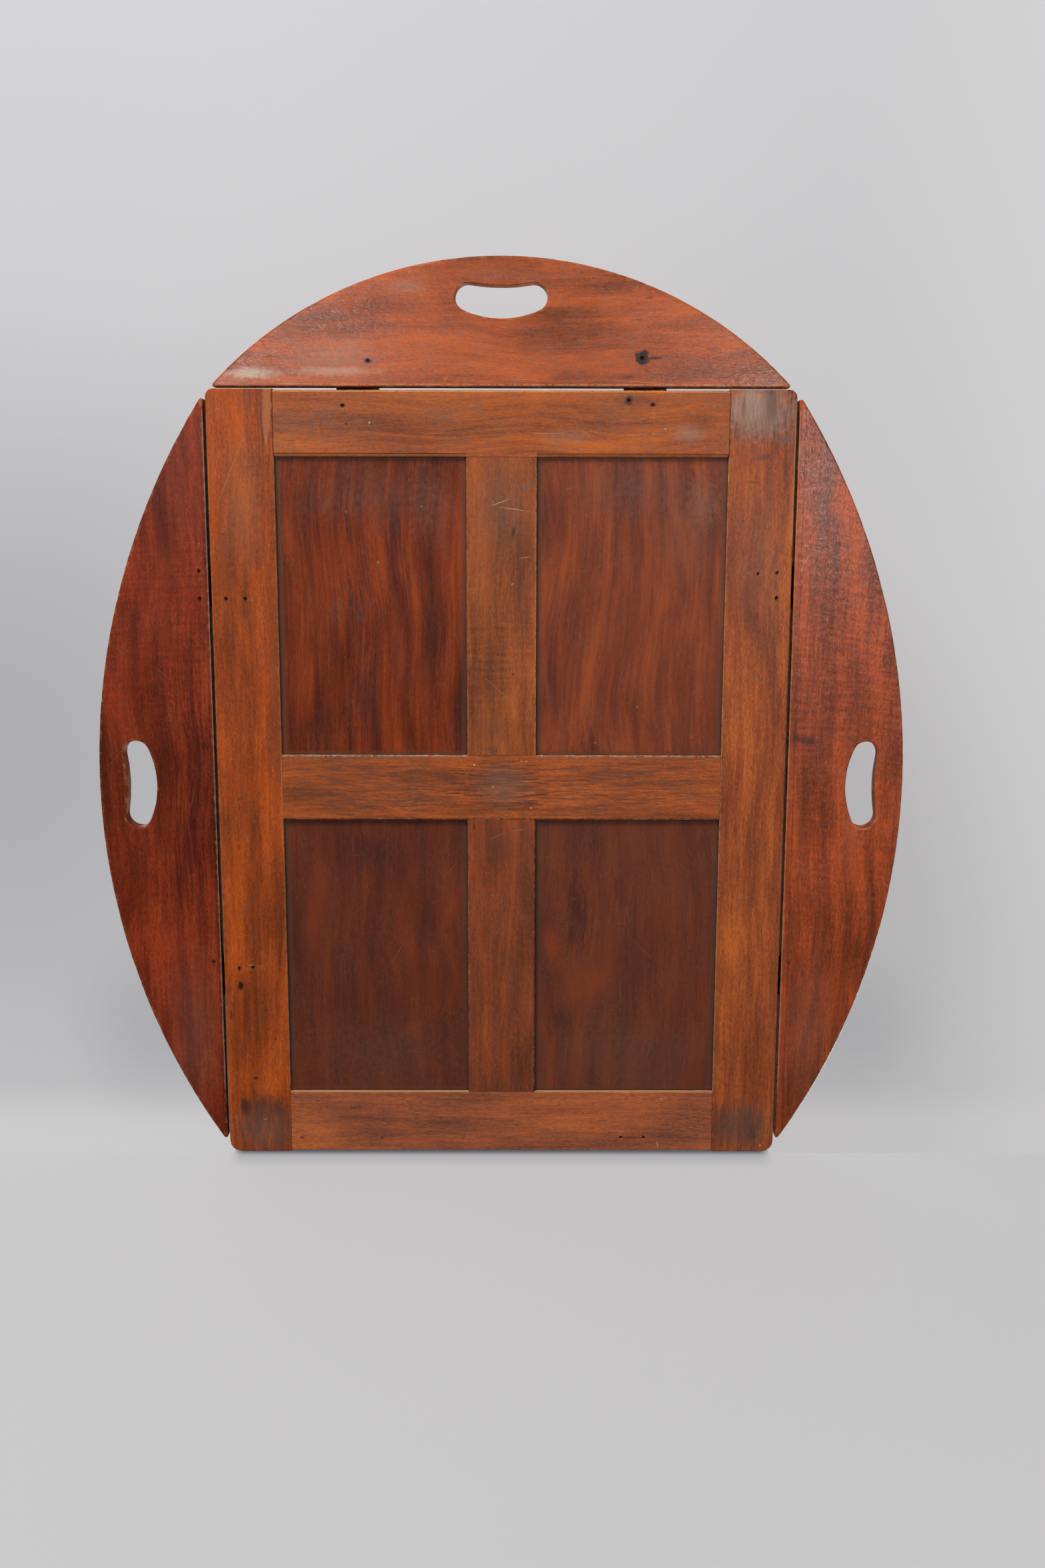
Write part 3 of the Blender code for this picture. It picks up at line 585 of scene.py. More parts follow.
def wearEdges(bm, lines):
    # Dents in the arrises near the lines, and the attribute that rubs them pale
    layer = bm.verts.layers.float.get("arris") or bm.verts.layers.float.new("arris")
    bm.normal_update()
    moves = []
    for corner in bm.verts:
        near = min(abs(corner.co[axis] - place) for axis, place in lines)
        corner[layer] = max(0.0, 1.0 - near / frameShape["rowInside"])
        wall = abs(abs(corner.co.x) - frameEdge) < thin
        if near < frameShape["arris"] + thin and corner.co.z < frameShape["dentsTo"] and not wall:
            dent = dentAt(corner.co, *frameShape["dentSizes"])
            moves.append((corner, corner.normal * dent * frameShape["dentDepth"]))
    for corner, move in moves:
        corner.co -= move


def makeFrameMember(node, material, along, spans, lines):
    # lines are the worn edges: an axis and a place on it. spans are the stretches beside the panels.
    bm = copyOfNode(node)
    low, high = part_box(node)
    for start, end in spans:
        for place in (start, end):
            if low[along] + thin < place < high[along] - thin:
                slice(bm, along, place)
    sliceEvery(bm, along, low[along], high[along], frameShape["sliceLength"])
    for axis, place in lines:
        inside = place - math.copysign(frameShape["rowInside"], place - (low[axis] + high[axis]) / 2)
        slice(bm, axis, inside)
    across = 1 - along
    margin = frameShape["outerMargin"]
    recessLines = [place for axis, place in lines if axis == across and abs(place) < frameEdge - margin
                   and abs(abs(place) - railEnd) > margin]
    chosen = []
    for edge in bm.edges:
        a, b = edge.verts
        if max(a.co.z, b.co.z) > frameShape["recessHeight"] or len(edge.link_faces) != 2:
            continue
        middle = (a.co + b.co) / 2
        inSpan = any(start - thin < middle[along] < end + thin for start, end in spans)
        nearRecess = any(abs(middle[across] - place) < frameShape["recessReach"] for place in recessLines)
        straight = abs(a.co[across] - b.co[across]) < thin
        if inSpan and nearRecess and straight and edge.calc_face_angle(0) > steep:
            chosen.append(edge)
    easeEdges(bm, chosen, frameShape["recessEdge"], frameShape["recessEdgeSteps"])
    wearEdges(bm, lines)
    piece = finishMesh(node + "_wood", bm, "base", [node])
    showTips(node, piece, "base")
    dressed(piece, material)


def makePanel(node, material):
    # The underside bows a little, and lies true along its edges
    bm = copyOfNode(node)
    low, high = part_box(node)
    for axis in (0, 1):
        sliceEvery(bm, axis, low[axis], high[axis], frameShape["panelGrid"])
    for corner in bm.verts:
        if corner.co.z < low.z + thin:
            u, v = [2 * (corner.co[axis] - low[axis]) / (high[axis] - low[axis]) - 1 for axis in (0, 1)]
            inside = max(0.0, 1 - u ** 4) * max(0.0, 1 - v ** 4)
            wave = 0.5 + noise.noise(corner.co / frameShape["panelWave"])
            corner.co.z += inside * wave * frameShape["panelBow"]
    dressed(finishMesh(node + "_wood", bm, "base", [node]), material)


# Edges of the recesses as seen from below, in mm
sideIn = 205.9
top, bottom = 304.1, -301.6
midUp, midDown = 30.4, -30.4
muntin = 32.0
jointWall, wallEnd = 266.5, 370

looks = {
    "left_stile": {
        "seed": 3, "tones": ((116, 50, 12), (160, 68, 16), (204, 92, 18)), "wander": 5,
        "figure": [(-214, 352, 12, 52, 0.45, "umber", 0.5), (-226, 292, 26, 20, 0.3, "umber", 0.9, 20),
            (-252, 230, 8, 90, 0.3, "glow"), (-214, 60, 8, 160, 0.25, "glow")],
        "streaks": [(-232, -338, 36, 40, 0.75, "slate"), (-212, 340, 10, 40, 0.5, "slate")],
        "marks": [(-231, 355, 18, 22, 0.3, "slate", 0.8), (-210.8, 352, 4.4, 40, 0.38, "honey", 0.35, -3),
            (-228, 295, 9, 2.2, 0.45, "umber", 0.9, 8), (-255, 235, 11, 1.6, 0.45, "umber", 0.9, -12),
            (-251, -194, 3.2, 6.4, 0.95, "sootAndShade", 0.55), (-261, -224, 1.8, 6.5, 0.6, "stainAndShade", 0.7),
            (-226, -219, 1.1, 1.1, 0.8, "stainAndShade", 0.6), (-219, -248, 1.2, 1.2, 0.8, "stainAndShade", 0.6),
            (-239.5, -288, 2.4, 2.0, 0.8, "stainAndShade", 0.6), (-249.5, -318, 7, 14, 0.7, "stainAndShade", 0.75, 8),
            (-229, -322, 24, 26, 0.55, "violet", 0.75), (-232, -338, 40, 34, 0.45, "hazeAndSheen"),
            (-253, 176, 1.9, 2.8, 0.9, "sootAndShade", 0.6), (-235.5, 176, 1.9, 2.8, 0.9, "sootAndShade", 0.6),
            (-252, -177, 1.7, 3.2, 0.9, "sootAndShade", 0.6), (-238.5, -176, 2.2, 2.2, 0.9, "sootAndShade", 0.6),
            (-240.5, -173.6, 3.4, 0.9, 0.8, "bloomAndSheen", 0.7, 4), (-231, -330, 2.4, 0.7, 0.5, "chalkAndHighlight", 0.7, 20),
            # The last mark is a painted sheen over the upper part.
            (-235, 265, 26, 90, 0.22, "honey", 1.0)],
        "scratchMarks": [(-229, 330, -263, 250, 0.75, 0.62, "honey"),
            (-262, 344, -250, 347, 0.9, 0.4, "bloomAndSheen"), (-258, -147, -233, -142, 0.6, 0.4, "bloomAndSheen"),
            (-242, -160, -233, -136, 0.5, 0.3, "bloomAndSheen"), (-234, -190, -232, -270, 0.5, 0.3, "honey"),
            (-238, 60, -212, 20, 0.6, 0.25, "honey"), (-250, -30, -216, -96, 0.5, 0.3, "bloomAndSheen")],
        "edges": [(0, -sideIn, -301, 304, 0.55, 0.62, 0.75, "bare"),
            (0, -206.4, 304, 364, 0.5, 1.0, 0.6, "stainAndShade"), (0, -265.7, -300, 350, 0.7, 0.45, 0.35, "honey"),
            # Painted shade: the outer wall, which faces the side gap, is painted near black.
            (0, -jointWall, -wallEnd, wallEnd, 0.4, 1.0, 0.96, "sootAndShade")],
    },
    "right_stile": {
        "seed": 12, "tones": ((116, 55, 31), (163, 78, 37), (201, 104, 39)), "wander": 5,
        "figure": [(222, 200, 12, 90, 0.25, "glow"), (252, 150, 10, 120, 0.3, "slate"),
            (236, -60, 18, 90, 0.25, "umber")],
        "streaks": [(236, 348, 46, 34, 0.85, "stainAndShade"), (222, 350, 22, 18, 0.6, "chalkAndHighlight"),
            (236, -340, 40, 34, 0.6, "slate")],
        # The first mark, the pale top end, is bleached wood with a painted sheen on it.
        "marks": [(234, 344, 44, 34, 0.62, "bloomAndSheen", 0.7), (243, 352, 8, 24, 0.5, "slate", 0.8),
            (232, 358.6, 6, 3.4, 0.4, "honey"), (254, 354, 5, 5.5, 0.35, "honey"),
            (218, 348, 3, 16, 0.5, "slate", 0.8), (255, 319.5, 9, 3.2, 0.72, "iron", 0.6, 14),
            (249, 313, 4, 7, 0.5, "slate", 0.8), (238, 304.5, 16, 4.0, 0.6, "slate", 0.8, 8),
            (229, 282, 8, 2.2, 0.45, "umber", 0.9, -6), (235.5, 199.5, 1.8, 2.2, 0.9, "sootAndShade", 0.6),
            (253, 200.5, 1.9, 2.6, 0.75, "stainAndShade", 0.6), (253, 177.5, 2.2, 3.6, 0.9, "sootAndShade", 0.6),
            (241, -203, 1.2, 1.2, 0.8, "stainAndShade", 0.6), (216, -327, 5, 17, 0.55, "stainAndShade", 0.8),
            (245, -343, 5, 15, 0.45, "stainAndShade", 0.8), (234, -335, 34, 26, 0.45, "violet", 0.85),
            (234, -335, 40, 34, 0.4, "hazeAndSheen"), (254, -357, 1.6, 1.1, 0.6, "chalkAndHighlight", 0.5),
            # The last mark is a painted sheen over the upper part.
            (206, 286, 1.2, 5, 0.7, "bare", 0.6), (236, 210, 34, 120, 0.25, "hazeAndSheen", 1.0)],
        "scratchMarks": [(214, 120, 246, 96, 0.6, 0.4, "bloomAndSheen"), (222, 240, 236, 232, 0.6, 0.35, "bloomAndSheen"),
            (226, 205, 240, 198, 0.5, 0.35, "ember"), (222, 36, 248, -8, 0.55, 0.35, "honey"),
            (210, -110, 256, -102, 0.5, 0.35, "bloomAndSheen"), (228, -150, 236, -240, 0.5, 0.25, "honey")],
        "edges": [(0, sideIn, -301, 304, 0.55, 0.55, 0.75, "bare"),
            (0, 206.4, 304, 364, 0.5, 1.0, 0.6, "stainAndShade"), (0, 265.6, 225, 356, 0.8, 0.8, 0.6, "bare"),
            (0, 265.7, -330, 225, 0.7, 0.4, 0.4, "honey"),
            # Painted shade: the outer wall, which faces the side gap, is painted near black.
            (0, jointWall, -wallEnd, wallEnd, 0.4, 1.0, 0.96, "sootAndShade")],
    },
    "top_rail": {
        "seed": 21, "turn": 90, "tones": ((122, 60, 29), (167, 84, 36), (196, 100, 36)), "wander": 6,
        "fleckTint": "hazeAndSheen", "flecks": 0.6,
        "figure": [(-80, 318, 60, 8, 0.35, "ember"), (0, 314, 60, 6, 0.35, "ember"),
            (-170, 330, 36, 16, 0.3, "slate"), (120, 345, 70, 14, 0.3, "slate")],
        "marks": [(-143, 349, 3.2, 2.2, 0.85, "stainAndShade", 0.6), (-140, 333, 2.2, 1.4, 0.7, "stainAndShade", 0.7),
            (-119, 334, 1.5, 1.0, 0.9, "chalkAndHighlight", 0.5, 60), (114.7, 354, 4.6, 5.4, 0.9, "sootAndShade", 0.6),
            (116, 353, 20, 9, 0.55, "slate"), (136.5, 350, 3.6, 2.4, 0.85, "stainAndShade", 0.6),
            (134, 352, 14, 5, 0.45, "slate"), (169, 325, 22, 13, 0.45, "bloomAndSheen", 0.95),
            (148, 329, 1.0, 1.0, 0.8, "chalkAndHighlight", 0.5), (180, 336, 20, 12, 0.35, "umber"),
            (-60, 340, 26, 10, 0.25, "hazeAndSheen", 0.95), (60, 322, 34, 9, 0.25, "bloomAndSheen", 0.95)],
        "scratchMarks": [(22, 325, 60, 325, 0.9, 0.5, "bare"), (65, 332, 104, 316, 0.8, 0.5, "stainAndShade"),
            (70, 330, 112, 324, 0.7, 0.4, "slate"), (-148, 345, -100, 322, 0.5, 0.35, "bloomAndSheen"),
            (-196, 318, -184, 318, 1.2, 0.6, "stainAndShade"), (88, 342, 128, 334, 0.5, 0.4, "honey"),
            (60, 340, 84, 318, 0.6, 0.4, "bloomAndSheen")],
        # The four lines by the recess draw a bead in paint: a painted shade line and a painted highlight on
        # the bead.
        "edges": [(1, top + 2.9, -206, -32, 0.45, 1.0, 0.75, "stainAndShade"),
            (1, top + 2.9, 32, 206, 0.45, 1.0, 0.75, "stainAndShade"),
            (1, top + 1.5, -206, -32, 0.7, 0.9, 0.4, "honey"),
            (1, top + 1.5, 32, 206, 0.7, 0.9, 0.4, "glow"), (1, 361.6, -206, 206, 0.8, 0.7, 0.45, "bare")],
    },
    "middle_rail": {
        "seed": 34, "turn": 90, "tones": ((128, 66, 32), (172, 84, 35), (205, 103, 37)),
        "figure": [(-150, 8, 70, 8, 0.3, "ember"), (130, -16, 70, 8, 0.3, "ember")],
        "streaks": [(-110, 0, 110, 34, 0.6, "slate"), (110, 0, 110, 34, 0.6, "slate"),
            (0, 0, 60, 34, 0.5, "stainAndShade")],
        "marks": [(1, 2, 40, 32, 0.6, "hazeAndSheen", 0.95), (-7, 34, 9, 5, 0.5, "slate", 0.8),
            (19, -25, 5, 7, 0.4, "slate", 0.8, 30), (-25.5, 21.6, 1.4, 1.2, 0.7, "chalkAndHighlight", 0.5),
            (-8, 1, 0.8, 0.8, 0.7, "chalkAndHighlight", 0.5), (18.5, 25, 1.0, 0.8, 0.7, "chalkAndHighlight", 0.5),
            (23.5, 25, 0.9, 0.7, 0.7, "chalkAndHighlight", 0.5), (28, -19.5, 1.0, 0.9, 0.7, "chalkAndHighlight", 0.5),
            (-96, -12, 30, 9, 0.3, "slate"), (104, 14, 34, 8, 0.3, "slate")],
        "scratchMarks": [(18, 6, 30.5, 6, 0.8, 0.5, "bare"), (-39, 22, -30.5, 10, 0.7, 0.5, "honey"),
            (-130, 12, -92, -6, 0.5, 0.3, "bloomAndSheen"), (76, -20, 118, -8, 0.5, 0.3, "bloomAndSheen")],
        "edges": [(1, midUp - 1.2, -206, -32, 2.4, 0.55, 0.5, "hazeAndSheen"),
            (1, midUp - 1.2, 32, 206, 2.4, 0.5, 0.5, "hazeAndSheen"),
            (1, midUp - 0.7, -206, -32, 1.1, 0.5, 0.6, "bloomAndSheen"),
            (1, midUp - 0.7, 32, 206, 1.1, 0.45, 0.6, "bloomAndSheen"),
            (1, midUp - 0.1, -206, -32, 0.5, 0.4, 0.6, "bare"),
            (1, midUp - 0.1, 32, 206, 0.5, 0.35, 0.6, "bare"),
            (1, midDown + 0.6, -206, 206, 1.4, 0.9, 0.45, "stainAndShade"),
            (1, midDown + 0.2, -206, 206, 0.4, 0.25, 0.5, "bare")],
    },
    "bottom_rail": {
        "seed": 45, "turn": 90, "tones": ((124, 73, 53), (170, 91, 57), (203, 108, 55)), "flecks": 0.6,
        "marks": [(-143, -318, 8, 2, 0.5, "slate", 0.8), (-117, -349, 1.6, 1.3, 0.8, "stainAndShade", 0.6),
            (-196, -349, 3, 1.6, 0.7, "stainAndShade", 0.7), (117, -349, 2.2, 1.6, 0.9, "sootAndShade", 0.6),
            (139, -349, 2.2, 1.6, 0.9, "sootAndShade", 0.6), (156, -309, 2.0, 0.8, 0.5, "chalkAndHighlight", 0.6),
            (153, -356, 1.1, 4.4, 0.45, "chalkAndHighlight", 0.7, 8), (126, -349, 14, 2.4, 0.5, "stainAndShade"),
            (-60, -336, 60, 8, 0.25, "slate"), (60, -320, 60, 6, 0.25, "ember")],
        "edges": [(1, bottom - 0.2, -206, -32, 0.6, 0.85, 0.7, "bare"),
            (1, bottom - 0.2, 32, 206, 0.6, 0.75, 0.7, "bare"),
            (1, -361.8, -206, 206, 0.9, 0.5, 0.35, "honey")],
    },
    "upper_muntin": {
        "seed": 56, "tones": ((109, 57, 32), (151, 77, 35), (183, 95, 36)), "ripple": [(0.35, 70, 165, 0)],
        "figure": [(-14, 220, 10, 70, 0.3, "glow"), (20, 250, 6, 50, 0.3, "glow")],
        "marks": [(11, 237, 2.2, 7, 0.85, "violet", 0.6, -6), (24, 279, 3, 12, 0.5, "hazeAndSheen", 0.9, -28),
            (18, 262, 1.8, 7, 0.5, "slate", 0.8), (11, 107, 2, 2.6, 0.6, "stainAndShade", 0.8),
            (20, 80, 1.6, 2.2, 0.6, "stainAndShade", 0.8), (-7, 35, 9, 8, 0.55, "slate"),
            (10, 190, 1.6, 0.8, 0.6, "bare", 0.6, 30), (-6, 56, 22, 20, 0.3, "slate", 0.95),
            # The last mark is a painted sheen over the upper end.
            (0, 262, 34, 60, 0.3, "hazeAndSheen", 1.0)],
        "scratchMarks": [(-14, 259, 11.5, 268, 1.0, 0.75, "bare"), (-6, 260, 30, 255, 0.9, 0.75, "bare"),
            (-7.5, 262, -8, 266, 0.7, 0.5, "bare"), (13, 213, 30, 215, 1.0, 0.5, "bare"),
            (-25.5, 113, 17, 74, 0.7, 0.5, "honey"), (11.5, 83, 11.5, 61, 0.6, 0.5, "honey"),
            (-27, 240, -16, 230, 0.6, 0.3, "slate"), (-30, 252, -20, 250, 0.7, 0.5, "stainAndShade")],
        "edges": [(0, 31.7, 31, 303, 0.6, 0.5, 0.5, "bare"), (0, -31.8, 31, 303, 0.45, 0.3, 0.3, "honey")],
    },
    "lower_muntin": {
        "seed": 67, "tones": ((100, 52, 30), (137, 65, 34), (168, 81, 36)), "flecks": 0.65,
        "marks": [(-26, -37, 1.4, 6, 0.7, "stainAndShade", 0.8), (0, -60, 26, 24, 0.35, "slate", 0.95),
            (8, -190, 8, 60, 0.25, "slate", 0.95)],
        "scratchMarks": [(-14, -51, 6, -42, 0.8, 0.55, "honey"), (6, -42, 27, -39.5, 0.8, 0.55, "honey"),
            (-12, -150, 6, -128, 0.5, 0.35, "bloomAndSheen"), (-20, -240, 4, -262, 0.5, 0.35, "bloomAndSheen")],
        "edges": [(0, 31.4, -301, -31, 1.0, 0.9, 0.45, "stainAndShade"),
            (0, -31.8, -301, -31, 0.45, 0.3, 0.35, "honey")],
    },
}


def dustAndShadeInRecess(left, right, low, high):
    # Dust and painted shade along the edges of a recess
    across, up = (left - 9, right + 9), (low - 9, high + 9)
    dust = [(0, left, *up, 7.0, 1.0, 0.55), (0, right, *up, 7.0, 1.0, 0.55),
            (1, low, *across, 5.0, 1.0, 0.55), (1, high, *across, 3.0, 1.0, 0.3)]
    stainAndShade = [(0, left, *up, 1.0, 1.0, 0.45), (0, right, *up, 1.0, 1.0, 0.45),
             (1, low, *across, 1.2, 1.0, 0.5)]
    return [(*line, "dust") for line in dust] + [(*line, "stainAndShade") for line in stainAndShade]


panelLook = {"flecks": 0.2, "fleckTint": "hazeAndSheen", "scratches": 0.3, "fineness": 0.35, "gloss": 0.15}
panelLooks = {
    "upper_left_panel": {
        "seed": 5, "tones": ((76, 28, 11), (114, 42, 12), (149, 60, 16)), "contrast": 1.5, "wander": 6,
        "figure": [(-178, 180, 11, 150, 0.3, "umber"), (-172, 268, 13, 60, 0.7, "violet"),
            (-138, 210, 17, 120, 0.85, "violet", 0.8, 2), (-92, 218, 12, 62, 0.85, "violet", 0.9, 4),
            (-70, 282, 8, 44, 0.7, "violet"), (-126, 80, 22, 50, 0.55, "violet", 0.9, 4),
            (-56, 140, 12, 80, 0.35, "violet"), (-154, 262, 7, 36, 0.75, "ember", 0.9, -4),
            (-111, 240, 9, 66, 0.65, "ember", 0.9, 5), (-93, 130, 10, 56, 0.7, "ember", 0.9, 6),
            (-188, 110, 17, 70, 0.8, "ember"), (-48, 240, 8, 60, 0.4, "ember"),
            (-66, 90, 10, 50, 0.5, "ember"), (-160, 90, 8, 50, 0.4, "ember")],
        "marks": [(-142, 255, 2.4, 3.0, 0.5, "bloomAndSheen", 0.8), (-73, 260, 0.9, 0.9, 0.8, "chalkAndHighlight", 0.5),
            (-113, 208, 3.4, 3.0, 0.65, "hazeAndSheen", 0.8), (-113.4, 209.5, 0.9, 1.2, 0.8, "chalkAndHighlight", 0.5),
            (-152, 165, 12, 26, 0.3, "hazeAndSheen", 1.0), (-130, 161, 10, 20, 0.3, "hazeAndSheen", 1.0),
            # The haze patches over the top are a painted sheen.
            (-160, 256, 10, 26, 0.35, "hazeAndSheen", 1.0), (-104, 268, 100, 44, 0.42, "hazeAndSheen", 1.0),
            (-64, 258, 34, 54, 0.42, "hazeAndSheen", 1.0)],
        "scratchMarks": [(-112, 236, -110, 226, 0.7, 0.5, "bare"),
            (-160, 140, -120, 92, 0.5, 0.25, "bloomAndSheen"), (-80, 190, -62, 120, 0.5, 0.25, "bloomAndSheen"),
            (-190, 226, -160, 218, 0.5, 0.25, "bloomAndSheen")],
        "edges": dustAndShadeInRecess(-sideIn, -muntin, midUp, top),
    },
    "upper_right_panel": {
        "seed": 6, "tones": ((91, 42, 28), (128, 58, 33), (160, 76, 33)), "contrast": 1.2, "wander": 9,
        "figure": [(128, 215, 10, 44, 0.65, "ember", 0.9, -24), (145, 184, 9, 36, 0.65, "ember", 0.9, -24),
            (55, 84, 22, 44, 0.65, "ember", 0.9, -20), (133, 66, 11, 30, 0.7, "ember", 0.9, -18),
            (104, 130, 10, 40, 0.4, "ember", 0.9, -24), (173, 150, 7, 120, 0.6, "violet"),
            (96, 72, 14, 30, 0.65, "violet", 0.9, -20), (158, 64, 14, 30, 0.6, "violet", 0.9, -20),
            (112, 246, 8, 44, 0.55, "violet", 0.9, -20), (66, 190, 14, 50, 0.35, "violet", 0.9, -22),
            (120, 150, 8, 44, 0.45, "violet", 0.9, -26), (160, 240, 12, 60, 0.4, "violet", 0.9, -10)],
        # The first three marks, lighter and greyer over the top, are a painted sheen.
        "marks": [(124, 274, 110, 50, 0.55, "hazeAndSheen", 1.0), (168, 230, 44, 80, 0.5, "hazeAndSheen", 1.0),
            (184, 262, 24, 44, 0.35, "bloomAndSheen", 1.0), (88, 42, 1.2, 0.9, 0.7, "chalkAndHighlight", 0.5),
            (178, 47, 0.9, 0.9, 0.7, "chalkAndHighlight", 0.5), (127, 76, 1.0, 0.8, 0.7, "chalkAndHighlight", 0.5),
            (62, 276, 4, 1.6, 0.45, "bloomAndSheen", 0.8, 10), (78, 252, 3.2, 1.2, 0.45, "bloomAndSheen", 0.8, -8),
            (44, 229, 6, 4, 0.5, "stainAndShade")],
        "scratchMarks": [(58, 203, 70, 201, 0.6, 0.4, "bloomAndSheen"), (70, 201, 84, 202, 0.9, 0.6, "bloomAndSheen"),
            (84, 202, 94, 209, 0.9, 0.6, "bloomAndSheen"), (94, 209, 102, 218, 0.6, 0.4, "bloomAndSheen"),
            (86, 240, 92, 228, 0.6, 0.45, "bloomAndSheen"), (92, 228, 96, 216, 0.6, 0.45, "bloomAndSheen"),
            (88, 243, 97, 236, 0.6, 0.45, "bloomAndSheen"), (140, 120, 168, 92, 0.5, 0.3, "bloomAndSheen"),
            (118, 214, 126, 204, 0.6, 0.35, "bloomAndSheen")],
        "edges": dustAndShadeInRecess(muntin, sideIn, midUp, top),
    },
    "lower_left_panel": {
        "seed": 7, "tones": ((71, 34, 27), (102, 46, 29), (126, 60, 29)), "contrast": 0.8, "wander": 9,
        "roughness": 0.38,
        "figure": [(-42, -122, 9, 32, 0.7, "ember", 0.9, -12), (-47, -170, 10, 34, 0.95, "ember", 0.85, 4),
            (-60, -208, 12, 26, 0.85, "ember", 0.9, 34), (-84, -234, 22, 12, 0.55, "ember", 0.9, 30),
            (-76, -176, 12, 44, 0.45, "ember", 0.9, 20), (-90, -130, 16, 40, 0.35, "ember", 0.9, 10),
            (-180, -110, 14, 80, 0.4, "ember"), (-123, -66, 34, 34, 0.6, "violet"),
            (-45, -238, 14, 22, 0.6, "violet"), (-62, -140, 8, 36, 0.5, "violet", 0.9, 10),
            (-150, -190, 24, 60, 0.35, "violet")],
        # The strip along the bottom edge is dust and painted shade.
        "marks": [(-127, -281, 30, 3, 0.3, "umber"), (-118, -292, 90, 14, 0.35, "dust", 1.0),
            (-118, -262, 120, 62, 0.42, "hazeAndSheen", 1.0), (-108, -300, 0.9, 0.7, 0.6, "chalkAndHighlight", 0.5)],
        "scratchMarks": [(-90, -146, -110, -181, 0.8, 0.5, "bloomAndSheen"),
            (-36, -66, -62, -96, 0.7, 0.5, "bloomAndSheen"), (-110, -181, -104, -192, 0.5, 0.3, "bloomAndSheen"),
            (-193, -223, -179, -239, 0.9, 0.7, "stainAndShade"), (-179, -239, -163, -253, 0.8, 0.6, "stainAndShade"),
            (-74, -118, -50, -104, 0.5, 0.35, "bloomAndSheen"), (-150, -120, -132, -112, 0.5, 0.3, "bloomAndSheen")],
        "edges": dustAndShadeInRecess(-sideIn, -muntin, bottom, midDown),
    },
    "lower_right_panel": {
        "seed": 8, "tones": ((75, 40, 31), (110, 54, 36), (133, 64, 34)), "contrast": 0.8, "wander": 9,
        "roughness": 0.38,
        "figure": [(53, -155, 11, 34, 0.6, "ember", 0.9, 8), (90, -192, 12, 22, 0.5, "ember", 0.9, -20),
            (70, -200, 16, 34, 0.35, "ember", 0.9, -24), (150, -120, 22, 60, 0.3, "ember", 0.9, 8),
            (53, -48, 14, 16, 0.6, "violet"), (70, -120, 14, 54, 0.75, "violet", 0.9, 10),
            (104, -90, 12, 60, 0.4, "violet", 0.9, 6), (60, -250, 20, 50, 0.45, "violet", 0.9, 10),
            (130, -270, 60, 24, 0.45, "violet")],
        "marks": [(104, -186, 3, 1.6, 0.6, "stainAndShade", 0.8, 30), (125, -193, 2.2, 1.4, 0.6, "stainAndShade", 0.8, -20),
            # The first mark, the strip along the bottom edge, is dust and painted shade.
            (118, -290, 90, 14, 0.3, "dust", 1.0), (118, -262, 120, 62, 0.38, "hazeAndSheen", 1.0)],
        "scratchMarks": [(108, -77, 91, -92, 0.6, 0.5, "bloomAndSheen"), (102, -136, 125, -131, 0.7, 0.5, "bloomAndSheen"),
            (118, -141, 152, -176, 0.7, 0.5, "bloomAndSheen"), (147, -202, 164, -247, 0.6, 0.4, "bloomAndSheen"),
            (161, -228, 191, -230, 0.6, 0.4, "bloomAndSheen"), (75, -218, 120, -227, 0.6, 0.4, "bloomAndSheen")],
        "edges": dustAndShadeInRecess(muntin, sideIn, bottom, midDown),
    },
}

for node, along, spans, lines in (
        ("left_stile", 1, panelSpans, [(0, frameEdge), (0, stileInner), (1, frameEnd), (1, -frameEnd)]),
        ("right_stile", 1, panelSpans, [(0, -frameEdge), (0, -stileInner), (1, frameEnd), (1, -frameEnd)]),
        ("top_rail", 0, besideMuntin, [(1, railEnd), (1, topPanelEnd)]),
        ("bottom_rail", 0, besideMuntin, [(1, -railEnd), (1, bottomPanelEnd)]),
        ("middle_rail", 0, besideMuntin, [(1, middleHalf), (1, -middleHalf)]),
        ("upper_muntin", 1, panelSpans[1:], [(0, muntinHalf), (0, -muntinHalf)]),
        ("lower_muntin", 1, panelSpans[:1], [(0, muntinHalf), (0, -muntinHalf)])):
    makeFrameMember(node, mahogany(node + "Mahogany", **looks[node]), along, spans, lines)
print("Base frame done")

for node, look in panelLooks.items():
    makePanel(node, mahogany(node + "Mahogany", **panelLook, **look))
print("Panels done")

# Flaps, in the frame of their hinge line: X along the pins, Y outwards, the origin on the axis

flapShape = {
    "thickness": 0.016, "face": 0.003, "tip": 0.002, "tipSteps": 8, "rowLength": 0.0032,
    "arris": 0.0018, "holeArris": 0.0015, "arrisSteps": 4, "flatRing": 0.0012, "jointBow": 0.0001,
    "holeSideSteps": 18, "lobeSteps": 20, "holeLength": 0.0824, "holeHeight": 0.0302, "lobe": 0.012,
    "dip": 0.0024, "toRim": 0.0385, "dentDepth": 0.0004, "dentSizes": (0.009, 0.0033),
}
# edge: from the pins to the flap. hingeArris: the larger rounding of that edge on the serving side.
endFlap = {"radius": 0.360, "depth": 0.1135, "hingePlace": 0.130, "edge": 0.0011, "hingeArris": 0.0035}
sideFlap = {"radius": 0.640, "depth": 0.109, "hingePlace": 0.187, "edge": 0.001, "hingeArris": 0.0037}
sideFlapShift = 0.0025
bedShape = {
    "width": 0.0392, "reach": 0.0303, "under": 0.0007, "notch": 0.0036, "notchProud": 0.0004,
    "overrun": 0.002,
}


